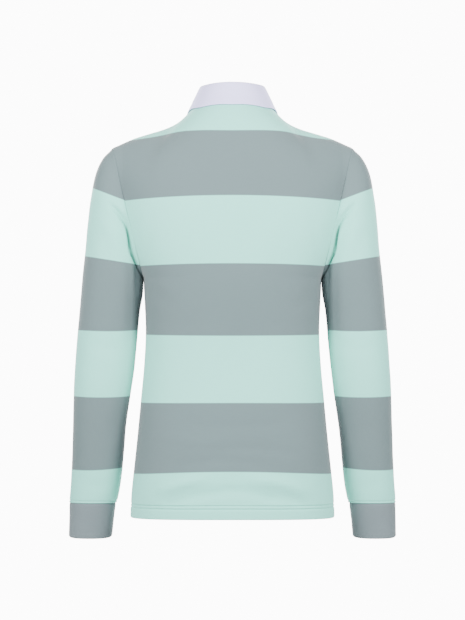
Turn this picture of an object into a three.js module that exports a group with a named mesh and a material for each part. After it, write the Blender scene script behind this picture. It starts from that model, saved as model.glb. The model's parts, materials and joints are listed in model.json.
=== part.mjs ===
// A long-sleeved rugby shirt in broad stripes, filled out as if worn, so that it is a hollow shell.
// Millimetres. +X is the wearer's left, +Y the back, +Z up. The origin is in the middle of the neck,
// level with the points where the shoulder seams reach the collar.
//
// Every cloth piece is a sheet: a grid of points on its right side, which then gets a wall inwards.
// Neighbouring sheets share the points of their seam, and each is drawn back by half the seam gap.

import * as THREE from 'three';

// Cloth and seams
const CLOTH = 1.6;
const SEAM_GAP = 0.3;

// Two sheets share one mitre where their right sides turn less than this, as a cosine.
const MITRE_LIMIT = 0.75;

// Grid steps
const NECK_STEPS = 7;
const SHOULDER_STEPS = 6;
const HALF_STEPS = NECK_STEPS + SHOULDER_STEPS;
const BODY_STEPS = 14;
const ARMHOLE_STEPS = 12;
const YOKE_STEPS = 5;
const SLEEVE_STEPS = 22;
const SLEEVE_SPACING = 1.15;
const CUFF_STEPS = 2;
const TOP_ROW = BODY_STEPS + ARMHOLE_STEPS;
const SHOULDER_SPACING = 1.15;

// Neck seam: half width, reach to back and front, and its heights
const NECK = { halfWidth: 63, back: 62, front: 64, backZ: 7, sideZ: 2, frontZ: -72, frontCurve: 1.25 };

// Armhole: an upright loop from the shoulder tip down to the underarm
const ARMHOLE = {
  tipX: 203, tipZ: -72, underX: 151, underZ: -292, back: 50, front: 46, fullness: 2.2, frontScoop: 12,
};

// Body, one row for each level of the panel's side edge. "backRise" and "frontRise" say how much higher that
// cross grain lies at the middle, and "fullness" how square the outline is. Above the underarm the armhole
// itself gives the width.
const BODY = [
  { z: -697, halfWidth: 173.0, back: 113, front: 112, backRise: 2.0, frontRise: 1.0, fullness: 2.4 },
  { z: -660, halfWidth: 171.5, back: 113, front: 114, backRise: 5.0, frontRise: 2.0, fullness: 2.4 },
  { z: -620, halfWidth: 167.5, back: 110, front: 115, backRise: 7.5, frontRise: 3.0, fullness: 2.4 },
  { z: -560, halfWidth: 161.2, back: 103, front: 114, backRise: 4.0, frontRise: 2.0, fullness: 2.4 },
  { z: -500, halfWidth: 155.4, back: 96, front: 113, backRise: 1.4, frontRise: 0.5, fullness: 2.4 },
  { z: -440, halfWidth: 149.8, back: 92, front: 114, backRise: 0.0, frontRise: -0.5, fullness: 2.4 },
  { z: -385, halfWidth: 147.2, back: 93, front: 118, backRise: -1.0, frontRise: -1.0, fullness: 2.4 },
  { z: -330, halfWidth: 149.2, back: 99.8, front: 123.2, backRise: 1.5, frontRise: -1.5, fullness: 2.4 },
  { z: -292, halfWidth: 151.0, back: 104.2, front: 126.2, backRise: 3.0, frontRise: -2.0, fullness: 2.4 },
  { z: -230, halfWidth: 151.0, back: 108.4, front: 127.2, backRise: 4.5, frontRise: -4.0, fullness: 2.4 },
  { z: -180, halfWidth: 151.0, back: 108.2, front: 122.5, backRise: 7.0, frontRise: -7.0, fullness: 2.4 },
  { z: -149, halfWidth: 151.0, back: 105.6, front: 116.4, backRise: 8.0, frontRise: -9.0, fullness: 2.4 },
];

// Shoulder seam from the neck to the tip, along the ridge
const SHOULDER = [
  { x: 63, z: 2 },
  { x: 77, z: -15 },
  { x: 92, z: -28.5 },
  { x: 114, z: -39.5 },
  { x: 141, z: -48 },
  { x: 168, z: -56.5 },
  { x: 203, z: -72 },
];

// Sleeve, one row for each section: its outer and inner point, its middle in depth, its reach to back and
// front, and how far its front half is drawn in towards the body. "at" runs from the armhole to the cuff.
const SLEEVE = [
  { at: 0.0, outerX: 203, outerZ: -72, innerX: 151, innerZ: -292, y: 0, back: 50, front: 46, scoop: 12 },
  { at: 0.05, outerX: 221, outerZ: -90, innerX: 151.4, innerZ: -296, y: 0, back: 54, front: 52, scoop: 8 },
  { at: 0.1, outerX: 233.5, outerZ: -117, innerX: 151.8, innerZ: -300, y: 0, back: 56, front: 56, scoop: 4 },
  { at: 0.16, outerX: 240.5, outerZ: -155, innerX: 152.2, innerZ: -305, y: -1, back: 57, front: 58, scoop: 1 },
  { at: 0.24, outerX: 246, outerZ: -200, innerX: 152.6, innerZ: -312, y: -2, back: 57, front: 59, scoop: 0 },
  { at: 0.32, outerX: 250.5, outerZ: -250, innerX: 153.6, innerZ: -324, y: -3, back: 57, front: 59, scoop: 0 },
  { at: 0.42, outerX: 257, outerZ: -312, innerX: 157.5, innerZ: -350, y: -5, back: 55, front: 58, scoop: 0 },
  { at: 0.52, outerX: 264, outerZ: -388, innerX: 162.5, innerZ: -400, y: -8, back: 52, front: 54, scoop: 0 },
  { at: 0.62, outerX: 269.5, outerZ: -462, innerX: 169.5, innerZ: -465, y: -12, back: 49, front: 50, scoop: 0 },
  { at: 0.74, outerX: 272.5, outerZ: -546, innerX: 181.5, innerZ: -546, y: -20, back: 44, front: 45, scoop: 0 },
  { at: 0.87, outerX: 276, outerZ: -630, innerX: 191.5, innerZ: -630, y: -30, back: 38, front: 38, scoop: 0 },
  { at: 0.975, outerX: 279, outerZ: -669, innerX: 198.5, innerZ: -669, y: -36, back: 34, front: 34, scoop: 0 },
  { at: 1.0, outerX: 279.2, outerZ: -676, innerX: 200.8, innerZ: -676, y: -37, back: 32, front: 32, scoop: 0 },
];
const SLEEVE_FULLNESS = 2.2;

// Cuff, from the sleeve's end down
const CUFF = [
  { at: 0.0, outerX: 279.2, outerZ: -676, innerX: 200.8, innerZ: -676, y: -37, back: 32, front: 32, scoop: 0 },
  { at: 0.5, outerX: 279.8, outerZ: -705, innerX: 204.4, innerZ: -705, y: -41, back: 30, front: 30, scoop: 0 },
  { at: 1.0, outerX: 280.6, outerZ: -735, innerX: 207.6, innerZ: -735, y: -45, back: 29, front: 29, scoop: 0 },
];

// Collar: top of the stand round the neck, the roll over it, and the leaf's reach below the neck seam
const STAND = { halfWidth: 52, back: 56, front: 58, backZ: 33, sideZ: 24.5, frontZ: -52, frontCurve: 1.25 };
const STAND_END_GAP = 2;
const STAND_SEAM = 0.012;
const ROLL = { start: 1.9, height: 4.4, lean: 0.6, width: 3.4, drop: 2.4 };
const LEAF_LIFT = 2.0;
const LEAF_OVER_SEAM = 5;

// One row for each place round the leaf: the neck angle of its fold, 0 at the back and 180 in front, and
// where its edge lies in plan.
const LEAF = [
  { turn: -45, x: -53, y: 51 },
  { turn: 0, x: 0, y: 71 },
  { turn: 45, x: 53, y: 51 },
  { turn: 90, x: 74, y: 0 },
  { turn: 120, x: 74, y: -32 },
  { turn: 150, x: 66, y: -62 },
  { turn: 180, x: 50, y: -90 },
];

// Steps down the leaf: how far the neck angle has gone towards the edge's, and how far it is to the edge.
const LEAF_STEPS = [
  { way: 0.3, down: 0 },
  { way: 0.55, down: 0.35 },
  { way: 0.8, down: 0.68 },
  { way: 1, down: 1 },
];

// Placket: half width of the slit, how many grid rows deep it is, and how far the strips pass its edges
const PLACKET = { halfWidth: 16, rows: 7, overlap: 1.5, gap: 0.3 };

// Buttons on it: the rim's flat width, how deep the dish is, and the edges' chamfer
const BUTTON = {
  radius: 5.8, height: 2.6, rim: 1.1, dish: 0.9, slope: 0.8, chamfer: 0.6, clearance: 0.5,
  heights: [-92, -141, -190],
};
const BUTTON_SIDES = 20;

// Creases pressed into the cloth, one row each. Places are in the view from the back or front, on the
// wearer's left, and the right has the same: a negative "depth" is a trough.
const BODY_CREASES = [
  { face: 'back', fromX: 115, fromZ: -644, toX: 50, toZ: -630, width: 15, depth: 2.2 },
  { face: 'back', fromX: 105, fromZ: -664, toX: 45, toZ: -650, width: 13, depth: -2.4 },
  { face: 'front', fromX: 120, fromZ: -640, toX: 55, toZ: -622, width: 16, depth: 2.0 },
  { face: 'front', fromX: 112, fromZ: -664, toX: 50, toZ: -648, width: 14, depth: -2.2 },
  { face: 'front', fromX: 145, fromZ: -262, toX: 95, toZ: -222, width: 13, depth: -2.4 },
];
const SLEEVE_CREASES = [
  { face: 'back', fromX: 202, fromZ: -178, toX: 174, toZ: -215, width: 12, depth: -3.5 },
  { face: 'back', fromX: 174, fromZ: -215, toX: 158, toZ: -262, width: 12, depth: -4.5 },
  { face: 'front', fromX: 200, fromZ: -190, toX: 166, toZ: -262, width: 13, depth: -4 },
  { face: 'front', fromX: 178, fromZ: -432, toX: 225, toZ: -414, width: 12, depth: -3 },
  { face: 'front', fromX: 182, fromZ: -470, toX: 232, toZ: -462, width: 12, depth: -3 },
];


// How soon a crease fades where the cloth turns away from the view it is placed in
const CREASE_FADE = 1.6;

const COLOURS = { mint: 0xbfdfd8, grey: 0xa2b0b2, white: 0xdedee8, button: 0xe4e4e0 };

const RADIANS = Math.PI / 180;
const mix = (a, b, t) => a + (b - a) * t;
const clamp = (value, low, high) => Math.min(high, Math.max(low, value));
const power = (value, exponent) => Math.sign(value) * Math.abs(value) ** exponent;
const vector = (x, y, z) => new THREE.Vector3(x, y, z);

// Reads every column of a table at one place, on a smooth curve through the rows.
function readTable(table, key, place) {
  const last = table.length - 1;
  let row = table.findIndex((entry, index) => index < last && place <= table[index + 1][key]);
  if (row < 0) row = last - 1;
  const start = table[row];
  const end = table[row + 1];
  const before = table[Math.max(row - 1, 0)];
  const after = table[Math.min(row + 2, last)];
  const span = end[key] - start[key];
  const t = clamp((place - start[key]) / span, 0, 1);
  const result = {};
  for (const column of Object.keys(start)) {
    const slopeIn = ((end[column] - before[column]) / (end[key] - before[key])) * span;
    const slopeOut = ((after[column] - start[column]) / (after[key] - start[key])) * span;
    const bend = t * t * (3 - 2 * t);
    result[column] = start[column] + (end[column] - start[column]) * bend
      + slopeIn * t * (1 - t) ** 2 - slopeOut * t * t * (1 - t);
  }
  return result;
}

// A point on a section's ring. The angle starts at the outer point and runs over the back.
function ringPoint(section, angle, fullness) {
  const along = power(Math.cos(angle), 2 / fullness);
  const across = power(Math.sin(angle), 2 / fullness);
  const reach = across > 0 ? section.back : section.front;
  const scoop = across < 0 ? section.scoop * across ** 3 : 0;
  const x = mix(section.innerX, section.outerX, (1 + along) / 2) + scoop;
  const z = mix(section.innerZ, section.outerZ, (1 + along) / 2);
  return vector(x, section.y + reach * across, z);
}

// The armhole seam: angle 0 at the shoulder tip, 180 degrees at the underarm.
function armholePoint(face, angle) {
  const loop = {
    outerX: ARMHOLE.tipX, outerZ: ARMHOLE.tipZ, innerX: ARMHOLE.underX, innerZ: ARMHOLE.underZ,
    y: 0, back: ARMHOLE.back, front: ARMHOLE.front, scoop: ARMHOLE.frontScoop,
  };
  return ringPoint(loop, face === 'back' ? angle : -angle, ARMHOLE.fullness);
}

// A loop round the neck: turn 0 at the middle of the back, 180 degrees at the middle of the front.
function neckLoop(loop, turn) {
  const across = Math.sin(turn);
  const along = Math.cos(turn);
  const reach = along > 0 ? loop.back : loop.front;
  const drop = Math.abs(along) ** loop.frontCurve;
  const z = along > 0 ? mix(loop.sideZ, loop.backZ, along * along) : mix(loop.sideZ, loop.frontZ, drop);
  return vector(loop.halfWidth * across, reach * along, z);
}

// The neck angle that a column of the panel reaches, counted from the middle of that panel.
function neckTurn(face, column) {
  if (face === 'back') return (column / NECK_STEPS) * 90 * RADIANS;
  const slit = Math.asin(PLACKET.halfWidth / NECK.halfWidth);
  const turn = column < 1 ? slit * column : mix(slit, 90 * RADIANS, (column - 1) / (NECK_STEPS - 1));
  return Math.PI - turn;
}

// The upper edge of a panel: the neck seam and then the shoulder seam.
function topEdge(face, column) {
  if (column <= NECK_STEPS) return neckLoop(NECK, neckTurn(face, column));
  const share = (column - NECK_STEPS) / SHOULDER_STEPS;
  const x = mix(NECK.halfWidth, ARMHOLE.tipX, share ** SHOULDER_SPACING);
  return vector(x, 0, readTable(SHOULDER, 'x', x).z);
}

// A point on a cross row from the middle of the panel to its edge point.
function rowPoint(face, row, edge, column) {
  const depth = row[face];
  const rise = face === 'back' ? row.backRise : row.frontRise;
  const side = face === 'back' ? 1 : -1;
  const edgeDepth = Math.abs(edge.y) / depth;
  const edgeAngle = Math.acos(edgeDepth ** (row.fullness / 2));
  const fullWidth = edge.x / Math.sin(edgeAngle) ** (2 / row.fullness);
  const slit = Math.asin((PLACKET.halfWidth / fullWidth) ** (row.fullness / 2));
  let x = 0;
  let angle = 0;
  if (face === 'back') {
    angle = (edgeAngle * column) / HALF_STEPS;
    x = fullWidth * Math.sin(angle) ** (2 / row.fullness);
  } else if (column < 1) {
    x = PLACKET.halfWidth * column;
    angle = Math.asin((x / fullWidth) ** (row.fullness / 2));
  } else {
    angle = mix(slit, edgeAngle, (column - 1) / (HALF_STEPS - 1));
    x = fullWidth * Math.sin(angle) ** (2 / row.fullness);
  }
  const share = x / edge.x;
  const y = side * depth * power(Math.cos(angle), 2 / row.fullness);
  return vector(x, y, edge.z + rise * (1 - share ** 2));
}

const YOKE_ANGLE = (180 / ARMHOLE_STEPS) * YOKE_STEPS * RADIANS;

// How the yoke's columns leave the top edge: their fall for each step out at the middle of the neck, at its
// side and on the shoulder, how long the curve's two arms are, and how much of the flare starts at the top.
const YOKE = {
  back: { neckFall: 1.0, sideFall: 0.8, arm: 0.52 },
  front: { neckFall: 1.6, sideFall: 0.8, arm: 0.48 },
  shoulderFall: 0.1,
  shoulderSteps: 3,
  flare: 0.33,
};

function yokeFall(face, place) {
  const { neckFall, sideFall } = YOKE[face];
  if (place <= NECK_STEPS) return mix(neckFall, sideFall, (place / NECK_STEPS) ** 2);
  return mix(sideFall, YOKE.shoulderFall, clamp((place - NECK_STEPS) / YOKE.shoulderSteps, 0, 1));
}

// The cloth above the yoke row: each column bends over from the back or chest up to the top edge.
function yokePoint(face, column, share) {
  const foot = (place) => {
    const edge = armholePoint(face, YOKE_ANGLE);
    return rowPoint(face, readTable(BODY, 'z', edge.z), edge, place);
  };
  const columnPoint = (place) => {
    const start = foot(place);
    const end = topEdge(face, place);
    const { arm } = YOKE[face];
    const fall = yokeFall(face, place);
    const reach = arm * (start.y - end.y);
    const bow = [
      start,
      vector(start.x, start.y, mix(start.z, end.z, arm)),
      vector(mix(end.x, start.x, YOKE.flare), end.y + reach, end.z - Math.abs(reach) * fall),
      end,
    ];
    return new THREE.CubicBezierCurve3(...bow).getPoint(share);
  };
  const edge = armholePoint(face, YOKE_ANGLE * (1 - share));
  const pull = edge.sub(columnPoint(HALF_STEPS));
  return columnPoint(column).addScaledVector(pull, (column / HALF_STEPS) ** 3);
}

// A point of the front or back on the wearer's left, at any grid column and row. Row 0 is the hem.
function panelPoint(face, column, row) {
  if (row <= BODY_STEPS) {
    const z = mix(BODY[0].z, ARMHOLE.underZ, row / BODY_STEPS);
    const entry = readTable(BODY, 'z', z);
    return rowPoint(face, entry, vector(entry.halfWidth, 0, z), column);
  }
  const step = row - BODY_STEPS;
  const angle = (180 - (180 / ARMHOLE_STEPS) * step) * RADIANS;
  if (step <= ARMHOLE_STEPS - YOKE_STEPS) {
    const edge = armholePoint(face, angle);
    return rowPoint(face, readTable(BODY, 'z', edge.z), edge, column);
  }
  return yokePoint(face, column, (step - (ARMHOLE_STEPS - YOKE_STEPS)) / YOKE_STEPS);
}

// The same point on either side: a negative column is on the wearer's right.
function facePoint(face, column, row) {
  const point = panelPoint(face, Math.abs(column), row);
  if (column < 0) point.x = -point.x;
  return point;
}


// A sheet: rows of points, whether its columns close into a tube, and cells that are cut away.
function makeSheet(rows, { closed = false, cut = () => false } = {}) {
  const across = rows[0].length;
  const cells = [];
  for (let row = 0; row < rows.length - 1; row += 1) {
    for (let column = 0; column < (closed ? across : across - 1); column += 1) {
      if (cut(row, column)) continue;
      const next = (column + 1) % across;
      cells.push([
        row * across + column, row * across + next, (row + 1) * across + next, (row + 1) * across + column,
      ]);
    }
  }
  return { points: rows.flat(), cells };
}

// Turns a sheet's cells so that its right side faces away from a middle line or point.
function faceOutwards(sheet, middleOf) {
  let sum = 0;
  for (const cell of sheet.cells) {
    const [a, b, c, d] = cell.map((index) => sheet.points[index]);
    const normal = c.clone().sub(a).cross(d.clone().sub(b));
    sum += normal.dot(a.clone().add(c).multiplyScalar(0.5).sub(middleOf(a)));
  }
  if (sum < 0) sheet.cells = sheet.cells.map((cell) => [...cell].reverse());
  return sheet;
}

function measureNormals(sheet) {
  const normals = sheet.points.map(() => vector(0, 0, 0));
  for (const cell of sheet.cells) {
    const [a, b, c, d] = cell.map((index) => sheet.points[index]);
    const normal = c.clone().sub(a).cross(d.clone().sub(b));
    for (const index of cell) normals[index].add(normal);
  }
  sheet.normals = normals.map((normal) => normal.normalize());
  return sheet;
}

// Boundary edges run with the sheet's cells on their left.
function findBoundary(sheet) {
  const edges = new Map();
  for (const cell of sheet.cells) {
    cell.forEach((from, index) => {
      const to = cell[(index + 1) % 4];
      edges.set(`${from}:${to}`, [from, to]);
    });
  }
  return [...edges.values()].filter(([from, to]) => !edges.has(`${to}:${from}`));
}

// Moves the inner points of a sheet along its normal by the creases that pass near them.
function pressCreases(sheet, creases, facing, mirrored) {
  const edgePoints = new Set(findBoundary(sheet).flat());
  sheet.points.forEach((point, index) => {
    const normal = sheet.normals[index];
    if (edgePoints.has(index)) return;
    const face = facing || (normal.y > 0 ? 'back' : 'front');
    const x = mirrored ? Math.abs(point.x) : point.x;
    let height = 0;
    for (const crease of creases.filter((entry) => entry.face === face)) {
      const alongX = crease.toX - crease.fromX;
      const alongZ = crease.toZ - crease.fromZ;
      const share = (x - crease.fromX) * alongX + (point.z - crease.fromZ) * alongZ;
      const held = clamp(share / (alongX ** 2 + alongZ ** 2), 0, 1);
      const away = Math.hypot(x - crease.fromX - held * alongX, point.z - crease.fromZ - held * alongZ);
      height += crease.depth * Math.exp(-((away / crease.width) ** 2));
    }
    point.addScaledVector(normal, height * Math.min(1, Math.abs(normal.y) * CREASE_FADE));
  });
  return measureNormals(sheet);
}

const keyOf = (point) => point.toArray().map((value) => Math.round(value * 500)).join();

// Where two sheets meet nearly flat, their walls share one direction, so that they end in one mitre. Where
// they fold sharply back, each keeps its own direction and is drawn in from the other.
function joinSeams(sheets) {
  const meeting = new Map();
  for (const sheet of sheets) {
    sheet.walls = sheet.normals.map((normal) => normal.clone());
    sheet.folded = sheet.points.map(() => 0);
    for (const index of new Set(findBoundary(sheet).flat())) {
      const key = keyOf(sheet.points[index]);
      if (!meeting.has(key)) meeting.set(key, []);
      meeting.get(key).push({ sheet, index, normal: sheet.normals[index] });
    }
  }
  for (const corner of meeting.values()) {
    if (corner.length < 2) continue;
    const sum = corner.reduce((total, entry) => total.add(entry.normal), vector(0, 0, 0)).normalize();
    const nearest = Math.min(...corner.map((entry) => entry.normal.dot(sum)));
    for (const entry of corner) {
      if (nearest > MITRE_LIMIT) entry.sheet.walls[entry.index] = sum.clone().divideScalar(nearest);
      else entry.sheet.folded[entry.index] = 1 - nearest;
    }
  }
}

// How each boundary point is drawn back from its seam, square to both of its edges.
function seamOffsets(sheet) {
  const inwards = new Map();
  for (const [from, to] of findBoundary(sheet)) {
    const edge = sheet.points[to].clone().sub(sheet.points[from]);
    for (const index of [from, to]) {
      const inward = sheet.normals[index].clone().cross(edge).normalize();
      if (!inwards.has(index)) inwards.set(index, []);
      inwards.get(index).push(inward);
    }
  }
  const offsets = new Map();
  for (const [index, [first, second]] of inwards) {
    const offset = first.clone().add(second).divideScalar(Math.max(1 + first.dot(second), 0.5));
    offset.addScaledVector(sheet.normals[index], -(sheet.folded?.[index] ?? 0));
    offsets.set(index, offset.multiplyScalar(SEAM_GAP / 2));
  }
  return offsets;
}

// Gives a sheet its wall: the right side, the wrong side and the cut edges, as one closed body.
function thicken(sheet, thickness = CLOTH) {
  const offsets = seamOffsets(sheet);
  const outer = sheet.points.map((point, index) => {
    const offset = offsets.get(index);
    return offset ? point.clone().add(offset) : point.clone();
  });
  const walls = sheet.walls ?? sheet.normals;
  const inner = outer.map((point, index) => point.clone().addScaledVector(walls[index], -thickness));
  const all = [...outer, ...inner];
  const count = outer.length;
  const triangles = [];
  for (const [a, b, c, d] of sheet.cells) {
    const straight = outer[a].distanceTo(outer[c]) <= outer[b].distanceTo(outer[d]);
    const halves = straight ? [[a, b, c], [a, c, d]] : [[a, b, d], [b, c, d]];
    for (const [i, j, k] of halves) {
      triangles.push([i, j, k]);
      triangles.push([k + count, j + count, i + count]);
    }
  }
  for (const [from, to] of findBoundary(sheet)) {
    triangles.push([to, from, from + count]);
    triangles.push([to, from + count, to + count]);
  }
  const used = new Map();
  const positions = [];
  const indices = triangles.flat().map((index) => {
    if (!used.has(index)) {
      used.set(index, used.size);
      positions.push(...all[index].toArray());
    }
    return used.get(index);
  });
  const geometry = new THREE.BufferGeometry();
  geometry.setAttribute('position', new THREE.Float32BufferAttribute(positions, 3));
  geometry.setIndex(indices);
  geometry.computeVertexNormals();
  return geometry;
}

const shirt = new THREE.Group();

function addPiece(name, geometry, colour, roughness = 0.9) {
  const material = new THREE.MeshStandardMaterial({ color: colour, roughness, metalness: 0 });
  const mesh = new THREE.Mesh(geometry, material);
  mesh.name = name;
  shirt.add(mesh);
}

// The body's sheets face away from its upright middle line, a little below each point so that the yoke and
// the stand count as facing outwards too.
const AXIS_DROP = 20;
const bodyAxis = (point) => vector(0, 0, point.z - AXIS_DROP);

// Front and back panels
function makePanel(face) {
  const rows = [];
  for (let row = 0; row <= TOP_ROW; row += 1) {
    const line = [];
    for (let column = -HALF_STEPS; column <= HALF_STEPS; column += 1) line.push(facePoint(face, column, row));
    rows.push(line);
  }
  const inSlit = (row, column) => (
    face === 'front' && row >= TOP_ROW - PLACKET.rows && Math.abs(column + 0.5 - HALF_STEPS) < 1
  );
  const sheet = measureNormals(faceOutwards(makeSheet(rows, { cut: inSlit }), bodyAxis));
  return pressCreases(sheet, BODY_CREASES, face, true);
}

// Sleeves and cuffs: rings of the same number of points as the two armhole edges together
function makeTube(table, steps, spacing, side) {
  const around = 2 * ARMHOLE_STEPS;
  const rows = [];
  const middles = new Map();
  for (let row = 0; row <= steps; row += 1) {
    const section = readTable(table, 'at', (row / steps) ** spacing);
    const outer = vector(side * section.outerX, section.y, section.outerZ);
    const inner = vector(side * section.innerX, section.y, section.innerZ);
    const middle = outer.lerp(inner, 0.5);
    const line = [];
    for (let step = 0; step < around; step += 1) {
      const point = ringPoint(section, ((2 * Math.PI) / around) * step, SLEEVE_FULLNESS);
      point.x *= side;
      line.push(point);
      middles.set(point, middle);
    }
    rows.push(line);
  }
  const middleOf = (point) => middles.get(point);
  return measureNormals(faceOutwards(makeSheet(rows, { closed: true }), middleOf));
}

// Collar stand: an upright band from the neck seam to the roll, open in front. Its points stay on the panels'
// own neck points, so that the seam's two edges match.
function neckSeamTurns() {
  const half = [];
  for (let column = 0; column <= NECK_STEPS; column += 1) half.push(neckTurn('back', column));
  for (let column = NECK_STEPS - 1; column >= 1; column -= 1) half.push(neckTurn('front', column));
  half.push(Math.PI - STAND_END_GAP * RADIANS);
  return [...half.slice(1).reverse().map((turn) => -turn), ...half];
}

function makeStand() {
  const turns = neckSeamTurns();
  const rows = [STAND_SEAM, 0.5, 1].map((share) => turns.map((turn) => (
    neckLoop(NECK, turn).lerp(neckLoop(STAND, turn), share)
  )));
  return measureNormals(faceOutwards(makeSheet(rows), bodyAxis));
}

// The cloth of the panels under a place in plan near the neck: its point and the way it faces.
function clothUnder(x, y) {
  const face = y >= 0 ? 'back' : 'front';
  const nudge = 0.05;
  let column = NECK_STEPS * Math.min(Math.abs(x) / NECK.halfWidth, 1);
  let row = TOP_ROW - 0.3;
  let point = panelPoint(face, column, row);
  let across = point;
  let along = point;
  for (let round = 0; round < 12; round += 1) {
    across = panelPoint(face, column + nudge, row).sub(point).divideScalar(nudge);
    along = panelPoint(face, column, row - nudge).sub(point).divideScalar(-nudge);
    const area = across.x * along.y - across.y * along.x;
    const missX = Math.abs(x) - point.x;
    const missY = y - point.y;
    column += clamp((missX * along.y - missY * along.x) / area, -1, 1);
    row += clamp((missY * across.x - missX * across.y) / area, -1, 1);
    column = Math.max(column, nudge);
    point = panelPoint(face, column, row);
  }
  const normal = across.cross(along).normalize();
  if (normal.z < 0) normal.negate();
  if (x < 0) {
    point.x = -point.x;
    normal.x = -normal.x;
  }
  return { point, normal };
}

// Collar leaf: from the top of the stand over the roll, and down over the neck seam to its edge
function makeLeaf() {
  const seamTurns = neckSeamTurns();
  const between = seamTurns.slice(1).map((turn, index) => mix(seamTurns[index], turn, 0.5));
  const turns = [...seamTurns, ...between].sort((a, b) => a - b);
  const columns = turns.map((turn) => {
    const degrees = turn / RADIANS;
    const side = Math.sign(degrees || 1);
    const edge = readTable(LEAF, 'turn', Math.abs(degrees));
    const edgeTurn = Math.atan2(edge.x / NECK.halfWidth, edge.y / NECK.back);
    const top = neckLoop(STAND, turn);
    const out = vector(Math.sin(turn) / STAND.halfWidth, Math.cos(turn) / STAND.back, 0).normalize();
    const start = top.clone().addScaledVector(out, -CLOTH).add(vector(0, 0, ROLL.start));
    const crest = top.clone().addScaledVector(out, ROLL.lean).add(vector(0, 0, ROLL.height));
    const brow = crest.clone().addScaledVector(out, ROLL.width).add(vector(0, 0, -ROLL.drop));
    const fall = LEAF_STEPS.map(({ way, down }) => {
      const seam = neckLoop(NECK, mix(Math.abs(turn), edgeTurn, way));
      const { point, normal } = clothUnder(side * mix(seam.x, edge.x, down), mix(seam.y, edge.y, down));
      return point.addScaledVector(normal, CLOTH + mix(LEAF_OVER_SEAM, LEAF_LIFT, down));
    });
    return [start, crest, brow, brow.clone().lerp(fall[0], 0.5), ...fall];
  });
  const rows = columns[0].map((unused, row) => columns.map((column) => column[row]));
  return measureNormals(faceOutwards(makeSheet(rows), (point) => vector(0, 0, point.z - 3 * AXIS_DROP)));
}

// Placket strips: the front panel's own points, moved out over it or in under it
function makePlacket(lift) {
  const margin = 1 + PLACKET.overlap / PLACKET.halfWidth;
  const bottom = TOP_ROW - PLACKET.rows;
  const rows = [];
  for (let row = bottom; row <= TOP_ROW; row += 1) {
    rows.push([-1, 0, 1].map((column) => {
      const place = column * PLACKET.halfWidth * margin;
      return frontAcross(place, row);
    }));
  }
  const sheet = measureNormals(faceOutwards(makeSheet(rows), bodyAxis));
  sheet.points.forEach((point, index) => point.addScaledVector(sheet.normals[index], lift));
  return measureNormals(sheet);
}

// The front's point at a distance across from its middle line, near the slit.
function frontAcross(x, row) {
  const slit = facePoint('front', Math.sign(x), row);
  const middle = facePoint('front', 0, row);
  const flare = facePoint('front', 2 * Math.sign(x), row);
  if (x === 0) return middle;
  const past = (Math.abs(x) - PLACKET.halfWidth) / (Math.abs(flare.x) - PLACKET.halfWidth);
  return slit.lerp(flare, past);
}

// The front's middle row at a height, found by halving.
function rowAtHeight(height) {
  let low = TOP_ROW - PLACKET.rows;
  let high = TOP_ROW;
  while (high - low > 0.001) {
    const middle = (low + high) / 2;
    if (facePoint('front', 0, middle).z < height) low = middle;
    else high = middle;
  }
  return low;
}

// Button: a dished disc that lies on the upper placket
function makeButton(height) {
  const { radius, rim, dish, slope, chamfer, height: top } = BUTTON;
  const outline = [
    [0, 0], [radius - chamfer, 0], [radius, chamfer], [radius, top - chamfer], [radius - chamfer, top],
    [radius - rim, top], [radius - rim - slope, top - dish], [0, top - dish],
  ];
  const corners = outline.map(([x, y]) => new THREE.Vector2(x, y));
  const geometry = new THREE.LatheGeometry(corners, BUTTON_SIDES);
  const row = rowAtHeight(height);
  const place = facePoint('front', 0, row);
  const upwards = facePoint('front', 0, row + 0.3).sub(facePoint('front', 0, row - 0.3));
  const outwards = upwards.cross(vector(1, 0, 0)).normalize();
  if (outwards.y > 0) outwards.negate();
  geometry.applyQuaternion(new THREE.Quaternion().setFromUnitVectors(vector(0, 1, 0), outwards));
  place.addScaledVector(outwards, CLOTH + PLACKET.gap + BUTTON.clearance);
  geometry.translate(place.x, place.y, place.z);
  return geometry;
}

const back = makePanel('back');
const front = makePanel('front');
const sides = { left: 1, right: -1 };
const sleeves = {};
const cuffs = {};
for (const [name, side] of Object.entries(sides)) {
  sleeves[name] = makeTube(SLEEVE, SLEEVE_STEPS, SLEEVE_SPACING, side);
  pressCreases(sleeves[name], SLEEVE_CREASES, null, true);
  cuffs[name] = makeTube(CUFF, CUFF_STEPS, 1, side);
}
const stand = makeStand();
joinSeams([back, front, sleeves.left, sleeves.right, cuffs.left, cuffs.right]);

addPiece('back', thicken(back), COLOURS.mint);
addPiece('front', thicken(front), COLOURS.mint);
addPiece('sleeve_left', thicken(sleeves.left), COLOURS.mint);
addPiece('sleeve_right', thicken(sleeves.right), COLOURS.mint);
addPiece('cuff_left', thicken(cuffs.left), COLOURS.grey);
addPiece('cuff_right', thicken(cuffs.right), COLOURS.grey);
addPiece('collar_stand', thicken(stand), COLOURS.white);
addPiece('collar_leaf', thicken(makeLeaf()), COLOURS.white);
addPiece('placket_upper', thicken(makePlacket(CLOTH + PLACKET.gap)), COLOURS.white);
addPiece('placket_under', thicken(makePlacket(-CLOTH - PLACKET.gap)), COLOURS.white);
BUTTON.heights.forEach((height, index) => {
  addPiece(`button_${index + 1}`, makeButton(height), COLOURS.button, 0.5);
});

export default shirt;
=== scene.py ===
# %% [markdown]
# # A rugby shirt in broad stripes
# The shirt is long-sleeved, knitted in mint and grey stripes, with a white twill collar. It is filled
# out as if someone wore it, but nobody is inside, so every piece is a thin hollow sheet of cloth.
# Each piece is made in the order a maker would sew them on: body, sleeves, cuffs, collar, placket and
# buttons, and the sewing comes last. Sizes are in millimetres, as on a pattern, and turn into metres
# only when a mesh is made. +X is the wearer's left, +Y the back and +Z up.

# %% Load the frame
import json
import math
from functools import lru_cache

import bmesh
import bpy
import numpy as np
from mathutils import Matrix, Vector, noise

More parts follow.
